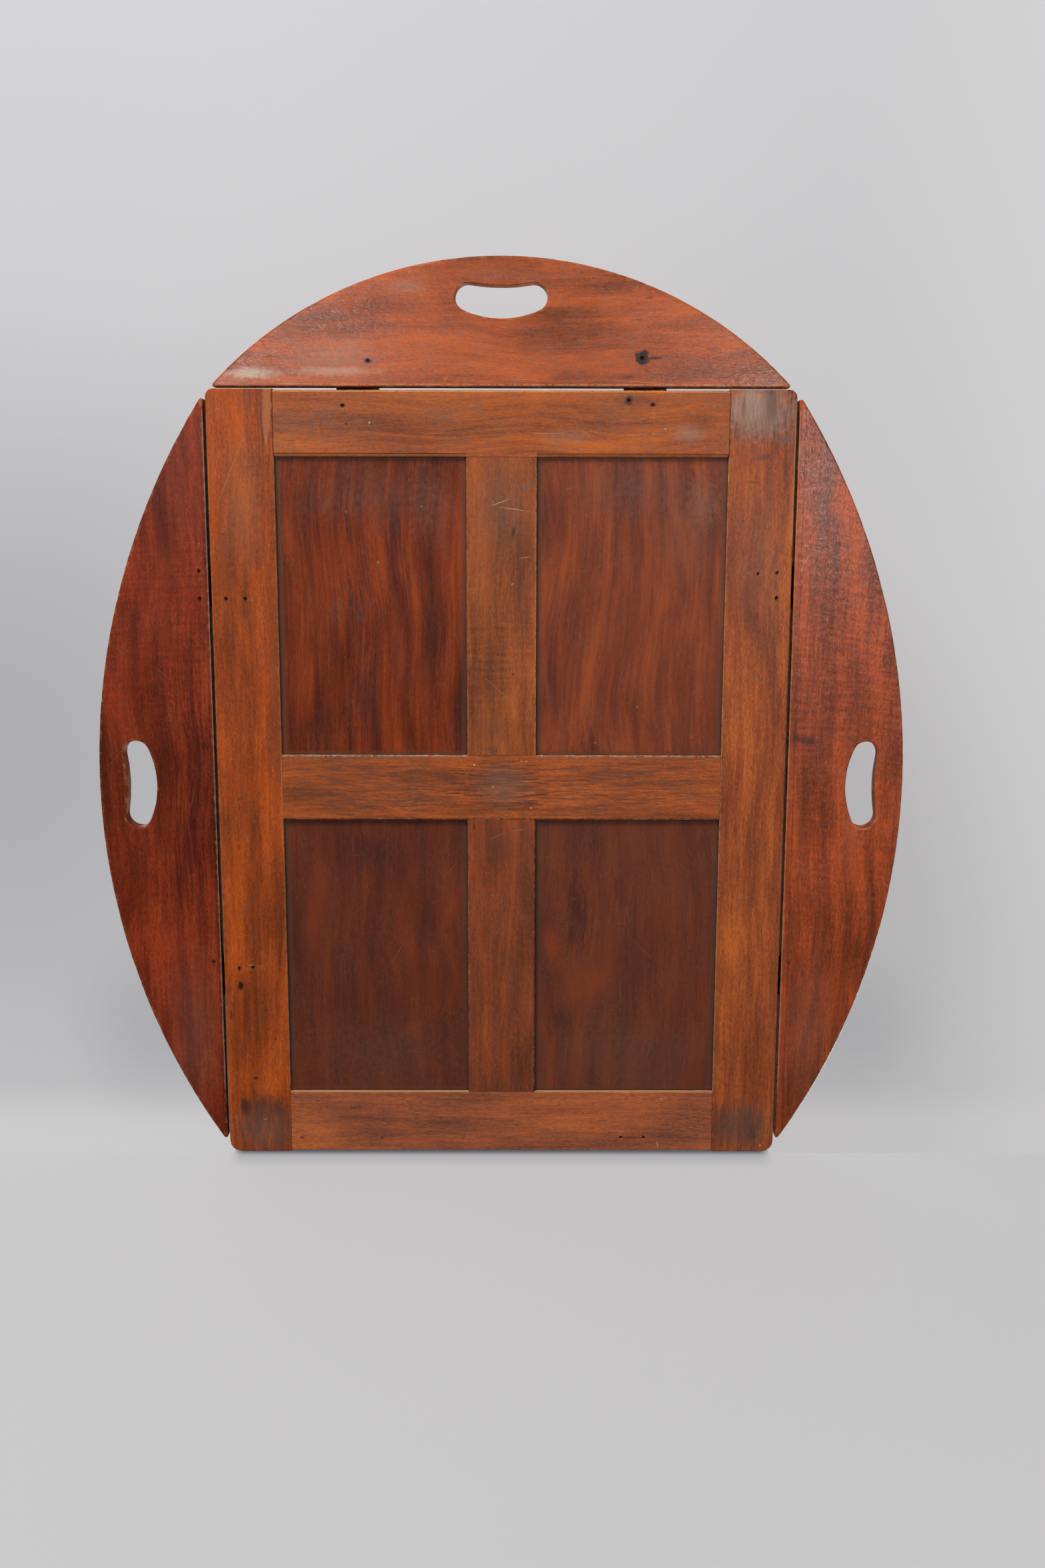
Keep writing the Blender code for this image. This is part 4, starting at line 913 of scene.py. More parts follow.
def spinChain(bm, start, turns):
    # A chain of arcs from a starting point. turns: centre, angle and steps of each arc.
    last = bm.verts.new(start)
    first = last
    for (x, y), angle, steps in turns:
        last = bmesh.ops.spin(bm, geom=[last], cent=(x, y, 0), axis=(0, 0, 1), angle=angle,
                              steps=steps)["geom_last"][0]
    return first, last


def loopEdges(corners):
    return list(dict.fromkeys(edge for corner in corners for edge in corner.link_edges))


def rimLoop(bm, size, edgeInset, rimInset, heightAtRim, heightAtJoint):
    # One level of a flap's outer side: tip, arc, tip and the straight joint
    before = len(bm.verts)
    tip, tipSteps = flapShape["tip"], flapShape["tipSteps"]
    radius = size["radius"] - rimInset
    centre = size["edge"] + size["depth"] - size["radius"]
    edge = size["edge"] + edgeInset
    tipY = edge + tip
    tipX = math.sqrt((radius - tip) ** 2 - (tipY - centre) ** 2)
    start = math.atan2(tipY - centre, tipX)
    sweep = 2 * math.acos(1 - size["depth"] / size["radius"])
    rows = round(size["radius"] * sweep / flapShape["rowLength"])
    jointRows = round(2 * size["radius"] * math.sin(sweep / 2) / flapShape["rowLength"])
    first, last = spinChain(bm, (tipX, edge, 0), (
        ((tipX, tipY), quarter + start, tipSteps),
        ((0, centre), math.pi - 2 * start, rows),
        ((-tipX, tipY), quarter + start, tipSteps)))
    closing = bm.edges.new((last, first))
    bmesh.ops.subdivide_edges(bm, edges=[closing], cuts=jointRows)
    bm.verts.ensure_lookup_table()
    corners = bm.verts[before:]
    chain = rows + 2 * tipSteps
    for k, corner in enumerate(corners):
        share = max(0, 1 - min(k, chain - k) / tipSteps) if k <= chain else 1
        corner.co.z = heightAtRim + (heightAtJoint - heightAtRim) * share
        if k > chain:         # a slight bow, so that the flat face has no needle triangles
            corner.co.y += flapShape["jointBow"] * (1 - (corner.co.x / tipX) ** 2)
    return loopEdges(corners)


def holeLoop(bm, size, outset, height):
    # One level of the hand-hole: two lobes, a convex inner side and an outer side that dips to the fingers
    before = len(bm.verts)
    length, across, lobe, dip = [flapShape[key] for key in ("holeLength", "holeHeight", "lobe", "dip")]
    middle = size["edge"] + size["depth"] - flapShape["toRim"]
    lobeX = length / 2 - lobe
    lobeY = across / 2 - lobe
    rise = lobe - across / 2
    fall = lobe - (across / 2 - dip)
    innerCentre = (lobeX ** 2 + lobeY ** 2 - rise ** 2) / (2 * (lobeY - rise))
    outerCentre = (lobeX ** 2 + lobeY ** 2 - fall ** 2) / (2 * (lobeY + fall))
    innerRadius = innerCentre + across / 2 + outset
    innerAngle = math.atan2(lobeY - innerCentre, lobeX)
    outerAngle = math.atan2(lobeY - outerCentre, lobeX)
    lobeSweep = math.atan2(outerCentre - lobeY, -lobeX) - innerAngle
    start = (-innerRadius * math.cos(innerAngle), middle + innerCentre + innerRadius * math.sin(innerAngle),
             height)
    sideSteps, lobeSteps = flapShape["holeSideSteps"], flapShape["lobeSteps"]
    first, last = spinChain(bm, start, (
        ((0, middle + innerCentre), math.pi + 2 * innerAngle, sideSteps),
        ((lobeX, middle + lobeY), lobeSweep, lobeSteps),
        ((0, middle + outerCentre), -(math.pi + 2 * outerAngle), sideSteps),
        ((-lobeX, middle + lobeY), lobeSweep * (lobeSteps - 1) / lobeSteps, lobeSteps - 1)))
    bm.edges.new((last, first))
    bm.verts.ensure_lookup_table()
    return loopEdges(bm.verts[before:])


def inOrder(edges):
    left = list(edges)
    path = list(left.pop(0).verts)
    while left:
        edge = next(edge for edge in left if path[-1] in edge.verts)
        left.remove(edge)
        path.append(edge.other_vert(path[-1]))
    return path[:-1]


def fromTo(ring, first, last):
    # A loop cut in two: from first to last on the side of -X, and on from last to first
    ring = ring[ring.index(first):] + ring[:ring.index(first)]
    if ring[1].co.x > ring[-1].co.x:
        ring = ring[:1] + ring[:0:-1]
    cut = ring.index(last)
    return ring[:cut + 1], ring[cut:] + ring[:1]


def fillAround(bm, rim, hole):
    # The flat face round the hand-hole, in two halves that meet at the middle
    rim, hole = inOrder(rim), inOrder(hole)
    outerMiddle = max(rim, key=lambda corner: corner.co.y)
    halfway = outerMiddle.co.y / 2
    onJoint = [corner for corner in rim if corner.co.y < halfway]
    jointMiddle = min(onJoint, key=lambda corner: abs(corner.co.x))
    holeY = sum(corner.co.y for corner in hole) / len(hole)
    outer = min((corner for corner in hole if corner.co.y > holeY), key=lambda corner: abs(corner.co.x))
    inner = min((corner for corner in hole if corner.co.y < holeY), key=lambda corner: abs(corner.co.x))
    halves = [bm.faces.new(rimPart + holePart[::-1]) for rimPart, holePart in zip(
        fromTo(rim, outerMiddle, jointMiddle), fromTo(hole, outer, inner))]
    for face in halves:
        face.normal_update()
    bmesh.ops.triangulate(bm, faces=halves)


def makeFlap(name, size, line, shift, material, body):
    face = flapShape["face"]
    back = face - flapShape["thickness"]
    arris, hole, flat = [flapShape[key] for key in ("arris", "holeArris", "flatRing")]
    joint = size["hingeArris"]
    steps = flapShape["arrisSteps"]
    angles = [quarter * k / steps for k in range(steps + 1)]
    levels = [(1 - math.sin(angle), 1 - math.cos(angle)) for angle in angles]
    bm = bmesh.new()
    rims = [rimLoop(bm, size, arris + flat, arris + flat, back, back)]
    holes = [holeLoop(bm, size, hole + flat, back)]
    for inward, rise in levels:
        height = back + arris * rise
        rims.append(rimLoop(bm, size, arris * inward, arris * inward, height, height))
        holes.append(holeLoop(bm, size, hole * inward, back + hole * rise))
    for inward, rise in reversed(levels):
        rims.append(rimLoop(bm, size, joint * inward, arris * inward,
                            face - arris * rise, face - joint * rise))
        holes.append(holeLoop(bm, size, hole * inward, face - hole * rise))
    rims.append(rimLoop(bm, size, joint + flat, arris + flat, face, face))
    holes.append(holeLoop(bm, size, hole + flat, face))
    for loops in (rims, holes):
        for lower, upper in zip(loops, loops[1:]):
            bmesh.ops.bridge_loops(bm, edges=lower + upper)
    for level in (0, -1):
        fillAround(bm, rims[level], holes[level])
    bmesh.ops.recalc_face_normals(bm, faces=bm.faces)
    layer = bm.verts.layers.float.new("arris")
    bm.normal_update()
    flatEdges = rims[0] + holes[0] + rims[-1] + holes[-1]
    flatCorners = {corner for edge in flatEdges for corner in edge.verts}
    for corner in bm.verts:
        corner[layer] = 0.0 if corner in flatCorners else 1.0
    jointFace = size["edge"] + flapShape["jointBow"] + thin
    moves = [(corner, corner.normal.copy()) for corner in bm.verts
             if corner[layer] and corner.co.y > jointFace]
    for corner, normal in moves:
        corner.co -= normal * dentAt(corner.co, *flapShape["dentSizes"]) * flapShape["dentDepth"]
    piece = finishMesh(name + "_wood", bm, body, [name])
    cutters = []
    width, above = bedShape["width"], face + bedShape["overrun"]
    for side in (-1, 1):
        hinge = Matrix.Translation((side * size["hingePlace"] - shift, 0, 0))
        cutters.append(boxCutter("bed", (-width / 2, 0, bedShape["under"]),
                                 (width / 2, bedShape["reach"], above), hinge))
        cutters.append(barCutter("notch", bedShape["notch"], width + bedShape["notchProud"], hinge))
    cutAway(piece, cutters)
    piece.data.transform(line @ Matrix.Translation((shift, 0, 0)))
    showTips(name, piece, body)
    dressed(piece, material)


flapLooks = {
    "top_flap": {
        "seed": 78, "turn": 90, "tones": ((119, 53, 15), (168, 73, 20), (199, 90, 20)), "wander": 7,
        "fleckTint": "hazeAndSheen", "flecks": 0.5, "gloss": 0.5, "roughness": 0.32, "orangePeel": 1.6,
        "figure": [(90, 385, 90, 12, 0.3, "glow", 0.95), (-60, 400, 60, 14, 0.25, "glow", 0.95),
            (0, 380, 120, 8, 0.25, "ember", 0.95)],
        "marks": [(126, 391, 7.6, 8.0, 0.95, "sootAndShade", 0.35), (138, 391, 9, 2.0, 0.9, "stainAndShade", 0.7),
            (-119.5, 388, 4.4, 3.2, 0.9, "sootAndShade", 0.5, 14), (59, 378, 7, 3.4, 0.45, "slate"),
            (72, 378, 6, 3.4, 0.4, "slate"), (114, 374.5, 6, 2.4, 0.6, "stainAndShade", 0.8),
            (132, 443, 5, 1.8, 0.5, "stainAndShade", 0.8), (122, 424, 6, 1.6, 0.45, "stainAndShade", 0.8),
            (131, 418, 1.1, 1.1, 0.7, "stainAndShade", 0.6), (130, 380, 1.0, 1.0, 0.8, "sootAndShade", 0.6),
            (190, 398, 10, 6, 0.4, "slate"), (232, 392, 6, 8, 0.35, "slate"),
            (0, 462, 60, 9, 0.35, "hazeAndSheen", 1.0), (-85, 452, 30, 10, 0.35, "bloomAndSheen", 1.0),
            # The two chalk marks and the last bloom mark are a painted highlight and sheen at the left end.
            (-224, 377, 34, 7, 0.66, "chalkAndHighlight"), (-150, 379, 56, 6, 0.38, "chalkAndHighlight"),
            (-150, 392, 60, 22, 0.35, "bloomAndSheen", 1.0)],
        "scratchMarks": [(-68, 447, -41, 447, 0.6, 0.8, "stainAndShade"), (-96, 437, -60, 435, 0.5, 0.35, "stainAndShade"),
            (-158, 418, -146, 385, 0.6, 0.5, "bare"), (-52, 370, -47, 376, 0.8, 0.6, "bare"),
            (92, 372, 160, 368, 0.7, 0.4, "bare"), (-10, 372, 40, 372, 0.6, 0.3, "bare")],
        # The first line is painted shade on the hinge edge, beside the gap.
        "edges": [(1, 365.3, -262, 262, 0.9, 1.0, 0.85, "stainAndShade"),
            (1, 367.6, -200, 262, 0.8, 0.5, 0.35, "bare")],
    },
    "bottom_flap": {
        "seed": 81, "turn": 90, "tones": ((112, 57, 38), (156, 78, 44), (189, 99, 46)), "wander": 7,
        "fleckTint": "hazeAndSheen", "flecks": 0.5, "gloss": 0.5, "roughness": 0.32, "orangePeel": 1.2,
    },
    "left_flap": {
        "seed": 92, "tones": ((86, 31, 15), (124, 45, 22), (160, 62, 28)), "wander": 5, "gloss": 0.15,
        "roughness": 0.34, "fleckTint": "wine", "flecks": 0.35, "ripple": [(0.22, 60, 260, 4)],
        "figure": [(-290, 20, 24, 130, 0.6, "wine", 0.95), (-300, -60, 26, 90, 0.4, "wine", 0.95),
            (-318, 170, 14, 120, 0.3, "ember", 0.95, -12), (-350, 80, 14, 90, 0.25, "ember", 0.95, -6)],
        "marks": [(-277, 39, 7, 6, 0.6, "stainAndShade"), (-277.5, 201, 1.9, 2.6, 0.9, "sootAndShade", 0.6),
            (-277.5, 176, 1.9, 2.6, 0.9, "sootAndShade", 0.6), (-276.5, -171, 3.4, 5.0, 0.75, "stainAndShade", 0.8),
            (-276, 226, 1.0, 1.0, 0.5, "bloomAndSheen", 0.5), (-274.5, 213, 1.0, 0.8, 0.5, "bloomAndSheen", 0.5),
            (-296, -240, 38, 110, 0.28, "hazeAndSheen", 1.0), (-268.5, 150, 1.4, 8, 0.5, "stainAndShade")],
        "scratchMarks": [(-290, -230, -286, -262, 0.8, 0.5, "stainAndShade"),
            (-330, 120, -300, 96, 0.5, 0.3, "bloomAndSheen"), (-286, 6, -296, -30, 0.6, 0.3, "bloomAndSheen")],
        "edges": [(0, -270.8, -340, 300, 1.8, 0.9, 0.4, "wine"),
            (0, -269.5, -300, 345, 0.5, 0.95, 0.75, "bloomAndSheen"),
            # Painted shade: the wall that faces the side gap is painted near black.
            (0, -268.5, -345, 345, 0.55, 1.0, 0.96, "sootAndShade")],
    },
    "right_flap": {
        "seed": 104, "tones": ((108, 45, 16), (155, 64, 22), (202, 84, 26)), "wander": 5, "gloss": 0.5,
        "roughness": 0.32, "fleckTint": "umber", "flecks": 0.45,
        "ripple": [(0.4, 40, 420, -8), (0.2, -140, 40, -8)], "orangePeel": 2.2,
        # The first figure is a painted sheen over the upper end.
        "figure": [(292, 250, 24, 100, 0.42, "hazeAndSheen", 1.0), (300, 120, 14, 90, 0.25, "umber", 0.95),
            (330, -40, 18, 110, 0.25, "glow", 0.95, 6), (286, -90, 12, 90, 0.25, "glow", 0.95)],
        "marks": [(286, 45, 17, 6, 0.65, "violet", 0.8, -12), (274, 48, 6, 7, 0.6, "stainAndShade", 0.8),
            (276.5, -171, 2.4, 3, 0.7, "stainAndShade", 0.7), (290, -180, 1.6, 2, 0.7, "stainAndShade", 0.7),
            (298, -240, 38, 110, 0.28, "hazeAndSheen", 1.0), (276, 196, 1.4, 2.4, 0.6, "stainAndShade", 0.6),
            (344, 146, 1.6, 1.6, 0.7, "stainAndShade", 0.6), (303, 303, 1.4, 1.4, 0.7, "stainAndShade", 0.6)],
        "scratchMarks": [(309, 235, 324, 229, 0.8, 0.6, "bloomAndSheen"), (283, 219, 276, 206, 0.8, 0.7, "chalkAndHighlight"),
            (277, 205, 274, 202, 1.2, 0.8, "chalkAndHighlight"), (290, 232, 295, 232, 1.2, 0.7, "chalkAndHighlight"),
            (300, 199, 304, 204, 1.2, 0.8, "chalkAndHighlight"), (296, 168, 300, 158, 0.7, 0.5, "stainAndShade"),
            (276, 225, 282, 225, 1.0, 0.5, "chalkAndHighlight"), (318, 262, 314, 256, 0.8, 0.6, "stainAndShade")],
        "edges": [(0, 271.9, -340, 345, 1.9, 0.9, 0.35, "ember"),
            (0, 274.9, -340, 345, 0.8, 0.7, 0.35, "wine"), (0, 269.5, -300, 345, 0.5, 0.95, 0.65, "honey"),
            # Painted shade: the wall that faces the side gap is painted near black.
            (0, 268.5, -345, 345, 0.55, 1.0, 0.96, "sootAndShade")],
    },
}

pinHeight = serving - flapShape["face"]
endLine, sideLine = railEnd + endFlap["edge"], frameEdge + sideFlap["edge"]
hingeLines = {
    "top": Matrix.Translation((0, endLine, pinHeight)),
    "bottom": Matrix.Translation((0, -endLine, pinHeight)) @ Matrix.Rotation(math.pi, 4, "Z")
    @ Matrix.Rotation(quarter, 4, "X"),
    "left": Matrix.Translation((sideLine, 0, pinHeight)) @ Matrix.Rotation(-quarter, 4, "Z"),
    "right": Matrix.Translation((-sideLine, 0, pinHeight)) @ Matrix.Rotation(quarter, 4, "Z"),
}
for name, size, shift in (("top", endFlap, 0), ("bottom", endFlap, 0),
                          ("left", sideFlap, -sideFlapShift), ("right", sideFlap, sideFlapShift)):
    node = name + "_flap"
    makeFlap(node, size, hingeLines[name], shift, mahogany(node + "Mahogany", **flapLooks[node]),
             node + "_body")
print("Flaps done")

# Hinges, in the frame of their pin: X along it, Y towards the flap, Z towards the serving side

hingeShape = {
    "width": 0.0386, "thickness": 0.002, "barrel": 0.003, "barrelSteps": 40, "camFlat": 0.0025,
    "knuckle": 0.0127, "pin": 0.001, "play": 0.0003, "edge": 0.0003, "overrun": 0.002,
    "springWidth": 0.0125, "springThickness": 0.0008, "springReach": 0.030, "bendStart": 0.017,
    "bendEnd": 0.004, "springSteps": 20, "rivet": 0.00135, "rivetHead": 0.0024, "rivetHeadHeight": 0.0008,
    "rivetPlace": 0.0235, "springEdge": 0.00012, "edgeSteps": 2, "pinSteps": 24, "pinEdgeSteps": 3,
}
screwShape = {
    "spacing": 0.025, "hole": 0.0031, "holeUnder": 0.0016, "head": 0.00304, "shank": 0.0015,
    "edge": 0.00012, "length": 0.007, "point": 0.3, "sunk": 0.0001, "slotWidth": 0.0008,
    "slotDepth": 0.0008, "turn": 0.3, "turnNext": 1.1, "turnPlate": 0.7, "turnHinge": 0.9,
}
framePlate = {"reach": 0.0375, "rows": (0.014, 0.0315), "way": -1}
flapPlate = {"reach": 0.030, "rows": (0.0105, 0.024), "way": 1}
plateTop = hingeShape["barrel"]
plateUnder = plateTop - hingeShape["thickness"]


def extruded(name, profile, width, ease):
    # A profile in the YZ plane, as wide as width along X, with eased edges
    bm = bmesh.new()
    face = bm.faces.new([bm.verts.new((-width / 2, y, z)) for y, z in profile])
    moved = bmesh.ops.extrude_face_region(bm, geom=[face])["geom"]
    corners = [item for item in moved if isinstance(item, bmesh.types.BMVert)]
    bmesh.ops.translate(bm, verts=corners, vec=(width, 0, 0))
    bmesh.ops.recalc_face_normals(bm, faces=bm.faces)
    easeEdges(bm, [edge for edge in bm.edges if edge.is_convex and edge.calc_face_angle(0) > steep],
              ease, hingeShape["edgeSteps"])
    return finishMesh(name, bm)


def makePlate(name, plate, knuckleGaps, flats):
    # A plate rolled into its knuckle. flats: whether it has the two that the spring bears on.
    way, barrel, steps = plate["way"], hingeShape["barrel"], hingeShape["barrelSteps"]
    profile = [(way * plate["reach"], plateUnder), (way * plate["reach"], plateTop)]
    sweep = 2 * math.pi - quarter + math.asin(plateUnder / barrel)
    limit = -hingeShape["camFlat"] if flats else -barrel
    for step in range(steps + 1):
        angle = quarter + sweep * step / steps
        y, z = [max(limit, barrel * share) for share in (math.cos(angle), math.sin(angle))]
        profile.append((way * y, z))
    piece = extruded(name, profile, hingeShape["width"], hingeShape["edge"])
    play, overrun = hingeShape["play"], hingeShape["overrun"]
    reach, above, below = barrel + play, plateTop + overrun, plateUnder - overrun
    cutters = [barCutter("bore", hingeShape["pin"] + play, hingeShape["width"] + 2 * overrun)]
    for low, high in knuckleGaps:
        cutters.append(boxCutter("gap", (low, -reach, -reach), (high, reach, above)))
    wide, narrow = screwShape["hole"], screwShape["holeUnder"]
    for row in plate["rows"]:
        for side in (-1, 1):
            cutters.append(turned("countersink", [
                (0, above), (wide, above), (wide, plateTop), (narrow, plateUnder), (narrow, below),
                (0, below)], side * screwShape["spacing"] / 2, way * row))
    if way < 0:
        cutters.append(rivetHole(0, above))
    cutAway(piece, cutters)
    return piece


def rivetHole(low, high):
    hole = hingeShape["rivet"] + hingeShape["play"] / 2
    return turned("rivetHole", [(0, low), (hole, low), (hole, high), (0, high)],
                  0, -hingeShape["rivetPlace"])


def makeSpring(gap):
    # A leaf that bends down to pass under the barrel. gap is the joint's width.
    high = plateUnder - hingeShape["play"]
    low = -hingeShape["barrel"] - hingeShape["play"]
    start, end, steps = hingeShape["bendStart"], hingeShape["bendEnd"], hingeShape["springSteps"]
    upper = [(-hingeShape["springReach"], high)]
    for step in range(steps + 1):
        blend = (1 - math.cos(math.pi * step / steps)) / 2
        upper.append((-start + (start - end) * step / steps, high + (low - high) * blend))
    upper.append((gap / 2 - hingeShape["play"], low))
    profile = upper + [(y, z - hingeShape["springThickness"]) for y, z in reversed(upper)]
    spring = extruded("spring", profile, hingeShape["springWidth"], hingeShape["springEdge"])
    cutAway(spring, [rivetHole(low, plateTop)])
    return spring


def makePin():
    bm = barAlongX(hingeShape["pin"], hingeShape["width"], hingeShape["pinSteps"])
    easeEdges(bm, [edge for edge in bm.edges if edge.calc_face_angle(0) > steep], hingeShape["edge"],
              hingeShape["pinEdgeSteps"])
    return finishMesh("pin", bm)


def makeRivet():
    under = plateUnder - hingeShape["springThickness"] - 2 * hingeShape["play"]
    radius, head, height = hingeShape["rivet"], hingeShape["rivetHead"], hingeShape["rivetHeadHeight"]
    edge = hingeShape["edge"]
    return turned("rivet", [
        (0, plateTop), (radius - edge, plateTop), (radius, plateTop - edge / 2), (radius, under),
        (head, under), (head, under - height + edge), (head - edge, under - height),
        (0, under - height)], 0, -hingeShape["rivetPlace"])


def makeScrew():
    head, shank, edge, length = [screwShape[key] for key in ("head", "shank", "edge", "length")]
    high, past = plateTop - screwShape["sunk"], head + hingeShape["overrun"]
    screw = turned("screw", [(0, high), (head - edge, high), (head, high - edge), (shank, plateUnder),
                             (shank, -length * (1 - screwShape["point"])), (0, -length)])
    half = screwShape["slotWidth"] / 2
    cutAway(screw, [boxCutter("slot", (-past, -half, high - screwShape["slotDepth"]), (past, half, past))])
    return screw


def placeCopies(pattern, name, matrices, body, material, nodes=()):
    # One piece, with a copy of the pattern at each of the matrices
    bm = bmesh.new()
    for matrix in matrices:
        before = len(bm.verts)
        bm.from_mesh(pattern.data)
        bm.verts.ensure_lookup_table()
        bmesh.ops.transform(bm, matrix=matrix, verts=bm.verts[before:])
    finishMesh(name, bm, body, nodes).data.materials.append(material)


def placeScrews(pattern, name, matrix, body, plate, turn):
    # The four screws of a plate, none of them turned like the next
    places = [Matrix.Translation((side * screwShape["spacing"] / 2, plate["way"] * row, 0))
              for row in plate["rows"] for side in (-1, 1)]
    placeCopies(pattern, name, [
        matrix @ place @ Matrix.Rotation(turn + k * screwShape["turnNext"], 4, "Z")
        for k, place in enumerate(places)], body, screwSteel)


half = hingeShape["knuckle"] / 2
halfAndPlay = half + hingeShape["play"]
outside = hingeShape["width"] / 2 + hingeShape["overrun"]
framePattern = makePlate("framePlate", framePlate, [(-halfAndPlay, halfAndPlay)], False)
flapPattern = makePlate("flapPlate", flapPlate, [(-outside, -half), (half, outside)], True)
pin, rivet, screw = makePin(), makeRivet(), makeScrew()
endSpring, sideSpring = makeSpring(2 * endFlap["edge"]), makeSpring(2 * sideFlap["edge"])
turn = screwShape["turn"]
# The names of a flap's two hinges are in their order along its line
for name, size, spring, hinges in (
        ("top", endFlap, endSpring, ("right", "left")),
        ("bottom", endFlap, endSpring, ("left", "right")),
        ("left", sideFlap, sideSpring, ("upper", "lower")),
        ("right", sideFlap, sideSpring, ("lower", "upper"))):
    flapLine, flapBody = hingeLines[name], name + "_flap_body"
    frameLine = flapLine @ Matrix.Rotation(-quarter, 4, "X") if name == "bottom" else flapLine
    for side, hinge in zip((-1, 1), hinges):
        along = Matrix.Translation((side * size["hingePlace"], 0, 0))
        onFrame, onFlap = frameLine @ along, flapLine @ along
        for pattern, kind, matrix, body, slot, material in (
                (framePattern, "frame_plate", onFrame, "base", "brass", brass),
                (pin, "pin", onFrame, "base", "steel", steel),
                (spring, "spring", onFrame, "base", "steel", steel),
                (rivet, "rivet", onFrame, "base", "brass", brass),
                (flapPattern, "flap_plate", onFlap, flapBody, "brass", brass)):
            node = f"{name}_{hinge}_hinge_{kind}"
            placeCopies(pattern, node + "_metal", [matrix], body, material, [node])
        for kind, matrix, body, plate, first in (
                ("frame", onFrame, "base", framePlate, turn),
                ("flap", onFlap, flapBody, flapPlate, turn + screwShape["turnPlate"])):
            placeScrews(screw, f"{name}_{hinge}_hinge_{kind}_screws", matrix, body, plate, first)
        turn += screwShape["turnHinge"]
for pattern in (framePattern, flapPattern, pin, rivet, screw, endSpring, sideSpring):
    bpy.data.objects.remove(pattern)
for body, bm in tipMeshes.items():
    bmesh.ops.remove_doubles(bm, verts=bm.verts, dist=thin)
    bmesh.ops.recalc_face_normals(bm, faces=bm.faces)
    finishMesh(body + "_screw_tips", bm, body).data.materials.append(screwSteel)
print("Hinges and screws done")

# Stage. The floor that the tray lies on is seen only from above. In the photograph's view the tray
# stands on photoFloor, which starts at its bottom edge, with photoFloorUnderTray below the base, before
# a backdrop. The far part of that floor is painted on the backdrop, so that it hides no other view.

stage = {
    "floorHeight": -0.001, "floorSize": (6.0, 6.0), "lean": 8.0, "glow": 0.58,
    "photoFloorSize": (6.0, 3.0), "photoFloorBehind": -0.0015,
    "underTraySize": (0.524, 0.0135), "underTrayBehind": 0.012,
    "backdropSize": (6.0, 4.0), "backdropPlace": (0, 0.6, 0.30),
    "mottleSize": 0.6, "mottleShade": 0.94, "paperRoughness": 0.9, "paperGloss": 0.1,
    "floorTone": screenColour(206, 205, 206), "backdropTone": screenColour(209, 209, 211),
    "farFloorTone": screenColour(222, 221, 222), "horizon": (-0.465, -0.405),
    "paintedLightTone": screenColour(220, 220, 221), "paintedLightSide": (-0.80, -0.30),
    "shadowTone": screenColour(70, 82, 96), "shadowEdge": 0.014,
    "nearShadow": (-0.001, 0.008, 0.55), "farShadow": (0.0, 0.032, 0.30),
    "worldTone": screenColour(200, 202, 204), "worldLight": 0.28, "mirrored": 0.07,
    "wallsMirrored": 0.45, "wallsFrom": (0.0, 0.12), "wallsTo": (0.62, 0.80),
    # Painted soft shadows of the tray on the backdrop: middle, size and strength
    "paintedShadows": (((0.62, 0.02, 0), (0.55, 0.55, 9), 0.26), ((0.40, -0.34, 0), (0.14, 0.15, 9), 0.20),
             ((-0.42, -0.34, 0), (0.12, 0.12, 9), 0.15)),
    "behindX": (0.324, 0.332), "behindTop": (0.355, 0.365), "behindBottom": (-0.474, -0.466),
}


def fadedOut(tree, value, low, high, most=1.0):
    # most up to low, and nothing from high on
    return rescale(tree, value, low, high, most, 0.0)


